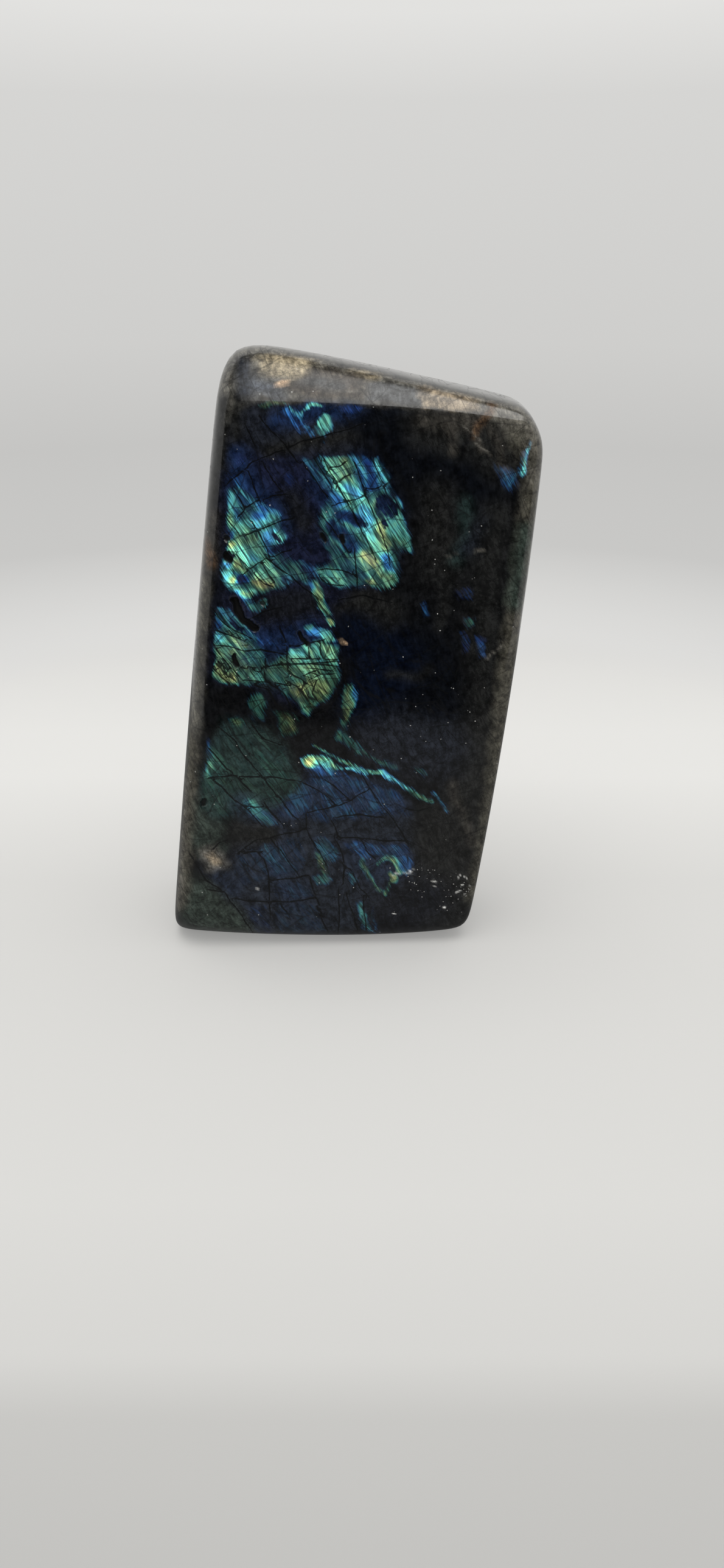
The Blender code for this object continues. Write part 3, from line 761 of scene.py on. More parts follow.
# Long dark cracks.
CRACKS = (
    ((546, 711), (521, 720), (493, 726), (468, 739), (437, 749), (414, 760), (403, 770), (374, 795)),
    ((546, 711), (569, 707), (596, 697)),
    ((426, 684), (445, 707), (468, 730), (489, 759)),
    ((403, 697), (418, 730)),
    ((433, 760), (449, 791), (464, 808)),
    ((407, 772), (420, 806), (429, 824)),
    ((498, 760), (529, 806), (540, 818)),
    ((517, 753), (546, 801)),
    ((533, 757), (560, 806), (584, 850), (602, 886), (618, 920)),
    ((542, 768), (556, 766), (567, 759)),
    ((552, 797), (565, 785), (575, 780)),
    ((549, 830), (565, 823), (586, 821), (603, 812)),
    ((582, 760), (597, 800), (613, 842), (630, 882), (642, 925)),
    ((598, 801), (617, 803), (634, 796)),
    ((613, 753), (622, 778), (634, 806)),
    ((393, 849), (407, 832), (420, 824), (448, 815), (470, 812)),
    ((404, 879), (424, 870), (442, 865), (454, 859), (468, 854), (482, 851)),
    ((401, 942), (411, 934), (428, 923), (436, 917), (450, 915), (462, 909), (478, 904)),
    ((385, 806), (401, 834)),
    ((375, 855), (393, 879)),
    ((412, 853), (426, 875), (436, 895), (442, 913)),
    ((387, 909), (397, 921), (409, 932)),
    ((430, 924), (440, 942), (452, 958)),
    ((417, 942), (432, 958), (448, 964)),
    ((527, 847), (545, 865), (565, 895), (577, 911)),
    ((440, 919), (462, 936), (478, 946), (498, 964), (517, 978), (537, 1006), (547, 1019)),
    ((524, 936), (537, 934), (557, 936), (583, 946)),
    ((525, 948), (537, 960), (563, 961)),
    ((583, 905), (585, 938), (588, 968)),
    ((349, 998), (363, 1019), (385, 1035), (413, 1049)),
    ((355, 1035), (377, 1043), (403, 1055)),
    ((355, 1059), (377, 1063), (402, 1069), (428, 1067)),
    ((355, 1068), (373, 1089), (393, 1112)),
    ((354, 1089), (375, 1112)),
    ((409, 1017), (428, 1008), (444, 1002), (462, 998)),
    ((460, 1031), (471, 1057), (474, 1108)),
    ((468, 1059), (488, 1061), (507, 1057), (533, 1052)),
    ((397, 1094), (424, 1098), (440, 1095), (462, 1092), (488, 1090), (523, 1092), (555, 1094)),
    ((480, 1081), (505, 1083), (555, 1083)),
    ((494, 1112), (511, 1104), (543, 1098)),
    ((509, 1116), (525, 1109), (547, 1107)),
    ((436, 1084), (435, 1100), (437, 1117)),
    ((428, 1067), (446, 1072), (470, 1074)),
    ((507, 1062), (508, 1082)),
    ((527, 1056), (526, 1070), (530, 1082)),
    ((473, 1120), (490, 1128), (500, 1142), (510, 1155)),
    ((500, 1120), (496, 1136), (506, 1150)),
    ((520, 1120), (512, 1140), (522, 1152)),
    ((352, 1084), (366, 1100), (384, 1118)),
    ((351, 1098), (364, 1112), (378, 1124)),
    ((360, 1086), (374, 1100), (388, 1120)),
    ((396, 1097), (412, 1100), (426, 1104)),
    ((460, 1084), (476, 1106), (496, 1116), (505, 1124)),
    ((399, 1118), (432, 1119), (460, 1124), (480, 1126)),
    ((417, 1125), (440, 1133), (448, 1149), (462, 1165), (480, 1175), (490, 1192)),
    ((444, 1125), (468, 1139), (480, 1165), (498, 1180)),
    ((359, 1193), (385, 1216), (397, 1238), (428, 1270), (444, 1294), (456, 1311)),
    ((413, 1189), (432, 1214), (462, 1224)),
    ((345, 1230), (361, 1250), (385, 1274), (412, 1300)),
    ((345, 1277), (381, 1275), (428, 1276), (460, 1278), (484, 1282)),
    ((349, 1279), (369, 1297), (385, 1313), (413, 1335), (430, 1357)),
    ((397, 1323), (419, 1327), (434, 1324)),
    ((434, 1318), (448, 1337), (466, 1356)),
    ((459, 1309), (476, 1334), (489, 1346)),
    ((390, 1402), (423, 1379), (444, 1376), (469, 1370), (494, 1365), (503, 1361), (503, 1336)),
    ((507, 1335), (535, 1329), (555, 1323), (573, 1317), (602, 1299)),
    ((496, 1286), (523, 1299), (543, 1313), (554, 1324)),
    ((535, 1280), (559, 1299), (578, 1316)),
    ((595, 1272), (615, 1307), (639, 1337), (661, 1367), (670, 1386)),
    ((503, 1361), (512, 1379), (526, 1401), (536, 1421)),
    ((544, 1347), (560, 1378)),
    ((444, 1377), (459, 1395), (473, 1413), (489, 1435)),
    ((423, 1399), (434, 1413), (441, 1436), (443, 1452), (442, 1481), (445, 1503)),
    ((391, 1404), (416, 1399), (430, 1399)),
    ((441, 1447), (473, 1444), (494, 1440), (510, 1438), (514, 1461), (521, 1479), (531, 1505)),
    ((387, 1477), (405, 1479), (441, 1482), (476, 1481), (518, 1476)),
    ((344, 1462), (369, 1465), (378, 1480), (391, 1495), (405, 1519), (419, 1537)),
    ((459, 1482), (470, 1497)),
    ((351, 1395), (359, 1386), (372, 1380)),
    ((312, 1403), (323, 1422), (339, 1447), (362, 1461)),
    ((558, 1375), (590, 1377), (617, 1379), (645, 1382), (672, 1382)),
    ((550, 1375), (562, 1401), (567, 1424), (563, 1450)),
    ((595, 1380), (603, 1399), (617, 1411)),
    ((562, 1419), (579, 1432), (591, 1460), (606, 1473)),
    ((556, 1462), (558, 1488), (556, 1537)),
    ((520, 1488), (530, 1513), (539, 1533)),
    ((569, 1468), (579, 1500), (588, 1529)),
    ((597, 1468), (599, 1500), (602, 1529)),
    ((550, 1343), (590, 1338), (629, 1343)),
    ((669, 1329), (688, 1332), (706, 1327)),
    ((560, 985), (600, 978), (640, 990)),
)

# Bright points of mica and scratched polish: painted glints, where their chips catch the light.
GLINTS = (
    glint(0.8, 12, (650, 1434), (684, 1434)),
    glint(1, 8, (712, 1449), (717, 1458)),
    glint(0.95, 26, (752, 1442), (768, 1470)),
    glint(0.5, 50, (690, 1440), (740, 1480)),
    glint(1, 6, (731, 1490)),
    glint(0.8, 6, (646, 1501)),
    glint(0.1, 100, (640, 1110), (740, 1180)),
    glint(0.12, 50, (720, 850), (730, 1000)),
    glint(0.5, 8, (554, 640), (602, 648)),
    glint(0.08, 40, (520, 790), (640, 960)),
    glint(0.06, 60, (400, 1300), (560, 1440)),
)

# Natural cavities that the polish left open, sunk a little and darkened with painted shade.
PITS = (
    pit(1, 12, (384, 988), (392, 1008), (400, 1020), (419, 1033)),
    pit(0.8, 11, (371, 911), (378, 921)),
    pit(0.5, 9, (371, 884), (372, 886)),
    pit(0.7, 9, (386, 1080), (389, 1095)),
    pit(0.7, 9, (492, 1040), (503, 1062)),
    pit(0.6, 8, (531, 880), (535, 890)),
    pit(0.6, 9, (560, 882), (564, 889)),
    pit(0.5, 9, (430, 990), (436, 993)),
    pit(0.5, 11, (334, 1319), (335, 1322)),
)

# The unseen back and sides have plain grounds and flashes of their own, placed by the same pixels.
BACK_STROKES = (
    field(Ground.COAL, 330, (560, 700), (560, 1400), soft=120),
    field(Ground.NAVY, 200, (470, 880), (620, 1120), soft=130),
    field(Ground.DUSK, 170, (420, 1300), (640, 1400), soft=120),
    field(Ground.BARK, 70, (700, 800), (730, 1150), soft=70),
    field(Ground.UMBER, 90, (880, 640), (856, 960), (818, 1260), (790, 1480), soft=80),
    field(Ground.OLIVE, 26, (890, 700), (870, 900), (826, 1230), soft=40),
    field(Ground.UMBER, 80, (340, 640), (322, 960), (300, 1330), (288, 1490), soft=70),
    field(Ground.OLIVE, 24, (338, 800), (318, 1060), (302, 1300), soft=40),
    field(Ground.BARK, 60, (880, 760), (868, 840), soft=70),
    field(Ground.COAL, 60, (846, 1040), (830, 1150), soft=80),
    field(Ground.BARK, 60, (800, 1330), (790, 1420), soft=70),
    field(Ground.BARK, 50, (344, 700), (338, 780), soft=70),
    field(Ground.COAL, 50, (316, 1100), (308, 1220), soft=80),
    field(Ground.OLIVE, 70, (350, 640), (400, 556), (470, 536), (640, 566), (860, 630), soft=60),
    field(Ground.STONE, 40, (430, 552), (560, 560), (700, 590), soft=50),
    shape(Hue.DEEP_BLUE, 0.44, (430, 1180), (540, 1140), (640, 1270), (610, 1390), (470, 1370), soft=60),
    shape(Hue.BLUE, 0.42, (455, 1235), (520, 1205), (590, 1300), (560, 1360), (490, 1335), soft=34),
    shape(Hue.DEEP_BLUE, 0.4, (450, 780), (540, 770), (650, 940), (600, 1020), (500, 930), soft=60),
    shape(Hue.SKY, 0.46, (495, 812), (528, 805), (612, 948), (588, 985), (540, 925), soft=26),
    shape(Hue.TEAL, 0.46, (640, 1010), (668, 1005), (706, 1120), (682, 1110), soft=24),
    shape(Hue.CYAN, 0.44, (415, 1112), (448, 1102), (512, 1180), (496, 1206), (442, 1176), soft=24),
    shape(Hue.GREEN, 0.38, (465, 1388), (520, 1388), (600, 1432), (556, 1450), soft=28),
)


@dataclass(frozen=True)
class Wander:
    """A slow bent wave and a quick slanting one, by which the strokes' edges wander.

    Attributes:
        slow: how fast the slow wave runs along.
        bend: how far it is bent.
        bend_rate: how fast the bend runs across.
        quick_along: how fast the quick wave runs along.
        quick_across: how fast it runs across.
        quick_share: how strong it is beside the slow one.
    """

    slow: float
    bend: float
    bend_rate: float
    quick_along: float
    quick_across: float
    quick_share: float = 0.6

    def at(self, along: Points, across: Points) -> Points:
        """Works out the wave.

        Args:
            along: places in the direction of the slow wave.
            across: places in the other direction.

        Returns:
            Its height at each place.
        """
        slow = np.sin(along * self.slow + self.bend * np.sin(across * self.bend_rate))
        return slow + self.quick_share * np.sin(along * self.quick_along + across * self.quick_across)


@dataclass(frozen=True)
class ColourPlay:
    """All that the strokes lay on the stone.

    Attributes:
        strokes: what is painted on the front, the first ones lowest.
        back_strokes: the same for the back and the sides.
        cracks: paths of the long cracks.
        bare: the ground where nothing is painted.
        rim_hue: the hue that a flash fades through at its edge.
        wobble: how far in pixels the strokes' edges wander.
        wobble_long: pixels in which the waves run on by one radian at rate 1.
        sway: how the edges wander across.
        heave: how they wander down.
        crack_wobble: the share of the wander that the cracks get.
        crack_far: greatest distance from a crack in pixels that the mesh carries.
        crack_near: pixels from a crack at which it starts to fade, and at which it is gone.
    """

    strokes: tuple[Stroke, ...] = GROUND + FLASHES + TINTS + CUTS + GLINTS + PITS
    back_strokes: tuple[Stroke, ...] = BACK_STROKES
    cracks: tuple[tuple[Pixel, ...], ...] = CRACKS
    bare: Ground = Ground.PITCH
    rim_hue: Hue = Hue.DEEP_BLUE
    wobble: float = 1.6
    wobble_long: float = 19.0
    sway: Wander = Wander(2.1, 1.7, 1.3, 3.1, 5.3)
    heave: Wander = Wander(1.9, 1.4, 1.7, -3.7, 4.7)
    crack_wobble: float = 0.4
    crack_far: float = 12.0
    crack_near: tuple[float, float] = (5.0, 8.0)

    def wandering(self, pixels: Points, share: float = 1.0) -> Points:
        """Bends the pixels a little, so that no stroke runs quite straight.

        Args:
            pixels: places across and down, one a row.
            share: how much of the full bend they get.

        Returns:
            The bent places.
        """
        across, down = pixels[:, 0] / self.wobble_long, pixels[:, 1] / self.wobble_long
        push = np.stack([self.sway.at(down, across), self.heave.at(across, down)], axis=1)
        return pixels + share * self.wobble * push

    def paint(self, pixels: Points, strokes: tuple[Stroke, ...]) -> dict[str, Points]:
        """Lays strokes over each other.

        Args:
            pixels: where the photograph shows each point of the mesh.
            strokes: what to lay, the first ones lowest.

        Returns:
            The values of each of the mesh's attributes, one a point.
        """
        sheets = {name: np.zeros(len(pixels)) for name in ("cover", "glow", "hue", "glint", "pit")}
        sheets["hue"] += self.rim_hue.value
        sheets["ground"] = np.tile(np.array(self.bare.value), (len(pixels), 1))
        bent = self.wandering(pixels)
        for stroke in strokes:
            distance = stroke.distance(bent)
            weight = 1 - smooth_step(distance, -stroke.edge / 2, stroke.edge / 2)
            if stroke.layer is Layer.GROUND:
                sheets["ground"] += weight[:, None] * (np.array(stroke.tone.value) - sheets["ground"])
            elif stroke.layer is Layer.CUT:
                sheets["cover"] *= 1 - weight
            elif stroke.layer in (Layer.FLASH, Layer.TINT):
                if stroke.layer is Layer.FLASH:
                    sheets["cover"] = np.maximum(sheets["cover"], weight)
                sheets["glow"] += weight * (stroke.strength - sheets["glow"])
                sheets["hue"] += weight * (stroke.tone.value - sheets["hue"])
            else:
                name = stroke.layer.value
                sheets[name] = np.maximum(sheets[name], weight * stroke.strength)
        return sheets

    def crack_sheets(self, pixels: Points) -> dict[str, Points]:
        """Measures each point's distance from the nearest long crack.

        Args:
            pixels: where the photograph shows each point of the mesh.

        Returns:
            The distance in pixels, below 0 on one side of the crack, and how much of the crack shows.
        """
        bent = self.wandering(pixels, self.crack_wobble)
        nearest, side = np.full(len(bent), np.inf), np.zeros(len(bent))
        for path in self.cracks:
            ends = np.array(path, dtype=float)
            for start, end in zip(ends, ends[1:]):
                run, offset = end - start, bent - start
                along = np.clip(offset @ run / (run @ run), 0, 1)
                gap = np.linalg.norm(offset - along[:, None] * run, axis=1)
                closer = gap < nearest
                nearest = np.where(closer, gap, nearest)
                turned = np.sign(run[0] * offset[:, 1] - run[1] * offset[:, 0])
                side = np.where(closer, turned, side)
        shown = 1 - smooth_step(nearest, *self.crack_near)
        return {"crack": nearest.clip(max=self.crack_far) * side, "crack_near": shown}


class NodeSheet:
    """A node tree that a finish is written on, from its inputs to its shader."""

    def __init__(self, tree: bpy.types.NodeTree) -> None:
        """Takes the tree to write on.

        Args:
            tree: a material's or a group's node tree.
        """
        self.tree = tree

    def add(self, kind: str, inputs: dict[str | int, object] | None = None,
            **settings: object) -> bpy.types.Node:
        """Adds a node.

        Args:
            kind: the node's type name.
            inputs: its sockets by name or number, each with a value or another node's output.
            settings: its own properties.

        Returns:
            The node.
        """
        node = self.tree.nodes.new(kind)
        for name, value in settings.items():
            setattr(node, name, value)
        for key, value in (inputs or {}).items():
            self.feed(node.inputs[key], value)
        return node

    def feed(self, socket: Socket, value: object) -> None:
        """Links a socket to an output, or sets its value.

        Args:
            socket: the input.
            value: an output socket, or a number, vector or colour.
        """
        if isinstance(value, bpy.types.NodeSocket):
            self.tree.links.new(value, socket)
        else:
            socket.default_value = value

    def math(self, operation: str, first: object, second: object = 0.0, clamp: bool = False) -> Socket:
        """Works out one sum.

        Args:
            operation: a Math node's operation.
            first: its first number.
            second: its second number.
            clamp: whether the result is kept between 0 and 1.

        Returns:
            The result's socket.
        """
        node = self.add("ShaderNodeMath", {0: first, 1: second}, operation=operation, use_clamp=clamp)
        return node.outputs[0]

    def step(self, value: object, low: object, high: object, bottom: float = 0.0, top: float = 1.0) -> Socket:
        """Eases a number from one value to another.

        Args:
            value: the number.
            low: where it starts to rise.
            high: where it stops.
            bottom: the result below low.
            top: the result above high.

        Returns:
            The result's socket.
        """
        inputs = {"Value": value, "From Min": low, "From Max": high, "To Min": bottom, "To Max": top}
        return self.add("ShaderNodeMapRange", inputs, interpolation_type="SMOOTHSTEP").outputs["Result"]

    def mix(self, factor: object, under: object, over: object, blend: str = "MIX") -> Socket:
        """Mixes two colours.

        Args:
            factor: how much of the second shows.
            under: the first colour.
            over: the second colour.
            blend: a Mix node's way of blending.

        Returns:
            The mixed colour's socket.
        """
        node = self.add("ShaderNodeMix", data_type="RGBA", blend_type=blend, clamp_factor=True)
        for socket, value in zip((node.inputs[0], node.inputs[6], node.inputs[7]), (factor, under, over)):
            self.feed(socket, (*value, 1) if isinstance(value, tuple) else value)
        return node.outputs[2]

    def attribute(self, name: str) -> Socket:
        """Reads one of the mesh's own numbers."""
        return self.add("ShaderNodeAttribute", attribute_name=name).outputs["Fac"]

    def vector(self, operation: str, first: object, second: object) -> Socket:
        """Works out one sum of vectors.

        Args:
            operation: a Vector Math node's operation.
            first: its first vector.
            second: its second vector.

        Returns:
            The result's socket.
        """
        return self.add("ShaderNodeVectorMath", {0: first, 1: second}, operation=operation).outputs[0]

    def scaled(self, vector: object, factor: object) -> Socket:
        """Multiplies a vector or a colour by a number.

        Args:
            vector: the vector or the colour.
            factor: the number.

        Returns:
            The product's socket.
        """
        node = self.add("ShaderNodeVectorMath", {0: vector, "Scale": factor}, operation="SCALE")
        return node.outputs[0]

    def noise(self, vector: object, scale: float, detail: float = 2.0,
              roughness: float = 0.5) -> bpy.types.Node:
        """Adds a cloudy noise.

        Args:
            vector: where it is read.
            scale: its lumps for each unit of the vector.
            detail: how many finer layers it has.
            roughness: how strong the finer layers are.

        Returns:
            The noise node.
        """
        inputs = {"Vector": vector, "Scale": scale, "Detail": detail, "Roughness": roughness}
        return self.add("ShaderNodeTexNoise", inputs)

    def ramp(self, value: object, stops: tuple[tuple[float, Colour], ...]) -> Socket:
        """Turns a number into a colour.

        Args:
            value: the number.
            stops: places from 0 to 1, each with its colour.

        Returns:
            The colour's socket.
        """
        node = self.add("ShaderNodeValToRGB", {"Fac": value})
        elements = node.color_ramp.elements
        while len(elements) < len(stops):
            elements.new(0.5)
        for element, (place, colour) in zip(elements, stops):
            element.position = place
            element.color = (*colour, 1)
        return node.outputs["Color"]


def new_group(name: str, inputs: tuple[tuple[str, str], ...],
              outputs: tuple[str, ...]) -> bpy.types.NodeTree:
    """Starts a shader node group.

    Args:
        name: the group's name.
        inputs: the name and the socket type of each input.
        outputs: the name of each output, which are all numbers.

    Returns:
        The empty group, with its input and output nodes.
    """
    tree = bpy.data.node_groups.new(name, "ShaderNodeTree")
    for label, kind in inputs:
        tree.interface.new_socket(label, in_out="INPUT", socket_type=kind)
    for label in outputs:
        tree.interface.new_socket(label, in_out="OUTPUT", socket_type="NodeSocketFloat")
    tree.nodes.new("NodeGroupInput")
    tree.nodes.new("NodeGroupOutput")
    return tree


def fracture_group() -> bpy.types.NodeTree:
    """Makes the group that draws a net of fine fractures with long cells.

    Returns:
        The group: Lines is 1 on a fracture, and Cell is one number for each cell.
    """
    vector, number = "NodeSocketVector", "NodeSocketFloat"
    inputs = (("Place", vector), ("Turn", vector), ("Cell size", vector), ("Width", number))
    tree = new_group("fracture_net", inputs, ("Lines", "Cell"))
    sheet = NodeSheet(tree)
    given, result = tree.nodes["Group Input"].outputs, tree.nodes["Group Output"].inputs
    turned = sheet.add(
        "ShaderNodeMapping",
        {"Vector": given["Place"], "Rotation": given["Turn"], "Scale": given["Cell size"]},
        vector_type="TEXTURE",
    ).outputs[0]
    edge = sheet.add("ShaderNodeTexVoronoi", {"Vector": turned, "Scale": 1.0}, feature="DISTANCE_TO_EDGE")
    cell = sheet.add("ShaderNodeTexVoronoi", {"Vector": turned, "Scale": 1.0}, feature="F1")
    sheet.feed(result["Lines"], sheet.step(edge.outputs["Distance"], 0.0, given["Width"], 1.0, 0.0))
    tone = sheet.add("ShaderNodeSeparateColor", {"Color": cell.outputs["Color"]})
    sheet.feed(result["Cell"], tone.outputs["Red"])
    return tree


GRAIN_GROUP = "drawn_out_grain"


def grain_group() -> bpy.types.NodeTree:
    """Makes the group that draws grain drawn out along one way.

    Returns:
        The group: Grain runs from 0 to 1.
    """
    vector = "NodeSocketVector"
    tree = new_group(GRAIN_GROUP, (("Place", vector), ("Turn", vector), ("Grain size", vector)), ("Grain",))
    sheet = NodeSheet(tree)
    given, result = tree.nodes["Group Input"].outputs, tree.nodes["Group Output"].inputs
    turned = sheet.add(
        "ShaderNodeMapping",
        {"Vector": given["Place"], "Rotation": given["Turn"], "Scale": given["Grain size"]},
        vector_type="TEXTURE",
    ).outputs[0]
    noise = sheet.noise(turned, 1.0, detail=3, roughness=0.55).outputs["Fac"]
    sheet.feed(result["Grain"], sheet.step(noise, 0.32, 0.68))
    return tree


@dataclass(frozen=True)
class LabradoriteFinish:
    """The polished stone: its ground colours, cracks and grain, with painted sheen and glow for its flashes,
    painted glints, and painted shade in its pits.

    Attributes:
        name: the material's name.
        play: colours along the scale of the colour play.
        lift: how much lighter a ground colour is than it looks in the studio.
        flash_lift: the same for the flashes.
        deepening: power that makes the faint flashes fainter.
        emitted: the share of a flash that it shines by itself, a painted glow where the studio can't light it
            enough.
        fracture_and_pit_shade: the colour inside a crack, and the painted shade inside a pit.
        glint: the colour of the painted glints.
        glint_cells: bright points for each millimetre, where every one shows.
        glint_chance: the share of them that shows where they are thickest.
        glint_stray: how thick they are where no stroke scatters them.
        crack_wide: half width of a long crack, in pixels of the photograph.
        crack_dark: how much a long crack darkens the ground.
        net_dark: the same for a fine one.
        crack_hides: the share of a flash that a crack hides.
        crack_rough: how much rougher the stone is in a crack.
        pit_rough: the same for a pit.
        crack_core: the share of a long crack's width that is fully dark.
        pit_shows: how much of a pit starts to show its painted shade, and how much is fully shaded.
        cover_shows: the same for a flash.
        ragged: how much the stripes fray a flash's edge.
        hue_jump: how much the hue changes from cell to cell.
        hue_drift: how much it drifts slowly.
        drift_scale: waves for each millimetre of that.
        stripe_levels: how the stripes raise a flash's brightness.
        cell_levels: how the cells between the fine cracks do.
        broad_levels: how the broad stripes raise the fine ones.
        mottle_scale: waves for each millimetre of the ground's mottles.
        mottle_levels: how they raise its brightness.
        streak_levels: how its streaks do.
        cloud_scale: waves for each millimetre of the clouds over the fine cracks.
        cloud_levels: how they raise those along the stripes.
        cross_share: how strong those across the stripes are.
        fray_scale: waves for each millimetre of a long crack's width.
        fray_levels: how they raise it.
        warps: waves for each millimetre and size of each bend of the patterns.
        lamella_turn: degrees that the fine stripes' tops lean to the left.
        cross_turn: degrees that the fine cross fractures lean.
        fine_net: cell size and line width of the fractures along the stripes.
        cross_net: the same for those across them.
        fine_grain: size of the fine stripes.
        broad_grain: size of the broad ones.
        ground_grain: size of the ground's streaks.
        ground_turn: degrees that those lean.
        relief_scale: waves for each millimetre of the polish's unevenness.
        relief_strength: how strongly it shows.
        relief_depth: how deep it is.
        roughness: of the polished face.
        ior: how strongly the stone bends light.
    """

    name: str = "polished_labradorite"
    play: tuple[tuple[float, Colour], ...] = (
        (0.0, (0.03, 0.028, 0.07)),
        (0.18, (0.018, 0.032, 0.12)),
        (0.3, (0.014, 0.055, 0.24)),
        (0.42, (0.03, 0.16, 0.44)),
        (0.52, (0.08, 0.38, 0.62)),
        (0.6, (0.13, 0.57, 0.58)),
        (0.67, (0.16, 0.61, 0.48)),
        (0.75, (0.22, 0.59, 0.37)),
        (0.85, (0.38, 0.61, 0.27)),
        (1.0, (0.74, 0.72, 0.28)),
    )
    lift: float = 1.9
    flash_lift: float = 1.75
    deepening: float = 1.7
    emitted: float = 0.22
    fracture_and_pit_shade: Colour = (0.0015, 0.0018, 0.0022)
    glint: Colour = (0.55, 0.55, 0.53)
    glint_cells: float = 1.3
    glint_chance: float = 0.3
    glint_stray: float = 0.02
    crack_wide: float = 1.6
    crack_dark: float = 0.9
    net_dark: float = 0.6
    crack_hides: float = 0.93
    crack_rough: float = 0.2
    pit_rough: float = 0.5
    crack_core: float = 0.45
    pit_shows: tuple[float, float] = (0.15, 0.6)
    cover_shows: tuple[float, float] = (0.1, 0.75)
    ragged: float = 0.6
    hue_jump: float = 0.1
    hue_drift: float = 0.3
    drift_scale: float = 0.3
    stripe_levels: Levels = (0.0, 0.9, 0.2, 1.35)
    cell_levels: Levels = (0.05, 0.95, 0.55, 1.25)
    broad_levels: Levels = (0.1, 0.7, 0.35, 1.1)
    mottle_scale: float = 0.35
    mottle_levels: Levels = (0.34, 0.7, 0.35, 2.0)
    streak_levels: Levels = (0.0, 1.0, 0.8, 1.2)
    cloud_scale: float = 0.13
    cloud_levels: Levels = (0.36, 0.6, 0.1, 0.9)
    cross_share: float = 0.7
    fray_scale: float = 0.9
    fray_levels: Levels = (0.3, 0.7, 0.55, 1.5)
    warps: tuple[tuple[float, float], ...] = ((0.05, 4.0), (0.22, 0.7))
    lamella_turn: float = -32.0
    cross_turn: float = 66.0
    fine_net: tuple[Size, float] = ((1.9, 13.0, 15.0), 0.075)
    cross_net: tuple[Size, float] = ((5.5, 26.0, 20.0), 0.03)
    fine_grain: Size = (0.42, 3.0, 6.0)
    broad_grain: Size = (1.1, 7.0, 8.0)
    ground_grain: Size = (0.8, 3.2, 4.0)
    ground_turn: float = -12.0
    relief_scale: float = 0.16
    relief_strength: float = 0.35
    relief_depth: float = 0.05 * MM
    roughness: float = 0.08
    ior: float = 1.5

    def build(self) -> bpy.types.Material:
        """Makes the material.

        Returns:
            The finished material.
        """
        material = bpy.data.materials.new(self.name)
        material.use_nodes = True
        sheet = NodeSheet(material.node_tree)
        shader = material.node_tree.nodes["Principled BSDF"]
        place = self.warped_place(sheet)
        nets, long, cell = self.fractures(sheet, place)
        lines = sheet.math("MAXIMUM", nets, long)
        fine = self.grain(sheet, place, self.lamella_turn, self.fine_grain)
        broad = self.grain(sheet, place, self.lamella_turn, self.broad_grain)
        stripes = sheet.math("MULTIPLY", fine, sheet.step(broad, *self.broad_levels))
        ground = self.ground_colour(sheet, place)
        shine = self.shine(sheet, place, stripes, cell, lines)
        grey = sheet.math("MAXIMUM", sheet.math("MULTIPLY", nets, self.net_dark),
                          sheet.math("MULTIPLY", long, self.crack_dark))
        dark = sheet.mix(grey, ground, self.fracture_and_pit_shade)
        colour = sheet.mix(1.0, dark, sheet.scaled(shine, self.flash_lift), "ADD")
        colour = self.glints(sheet, place, colour)
        # Painted shade: the pits are darkened, as their hollows would be shaded.
        pitted = sheet.step(sheet.attribute("pit"), *self.pit_shows)
        sheet.feed(shader.inputs["Base Color"], sheet.mix(pitted, colour, self.fracture_and_pit_shade))
        # Painted glow: the flashes also shine by themselves, though the stone is no lamp, except in the pits.
        sheet.feed(shader.inputs["Emission Color"], sheet.mix(pitted, shine, (0.0, 0.0, 0.0)))
        shader.inputs["Emission Strength"].default_value = self.emitted
        rough = sheet.math("ADD", sheet.math("MULTIPLY", lines, self.crack_rough), self.roughness)
        rough = sheet.math("ADD", rough, sheet.math("MULTIPLY", pitted, self.pit_rough), clamp=True)
        sheet.feed(shader.inputs["Roughness"], rough)
        relief = sheet.noise(place, self.relief_scale, 2).outputs["Fac"]
        bump = sheet.add(
            "ShaderNodeBump",
            {"Height": relief, "Strength": self.relief_strength, "Distance": self.relief_depth},
        )
        sheet.feed(shader.inputs["Normal"], bump.outputs["Normal"])
        shader.inputs["IOR"].default_value = self.ior
        return material

    def warped_place(self, sheet: NodeSheet) -> Socket:
        """Reads the place on the stone in millimetres, bent a little so that nothing runs straight.

        Args:
            sheet: the material's sheet.

        Returns:
            The place's socket.
        """
        metres = sheet.add("ShaderNodeTexCoord").outputs["Object"]
        place = sheet.scaled(metres, 1 / MM)
        for scale, size in self.warps:
            push = sheet.noise(place, scale, 1).outputs["Color"]
            centred = sheet.vector("SUBTRACT", push, (0.5, 0.5, 0.5))
            place = sheet.vector("ADD", place, sheet.scaled(centred, size))
        return place

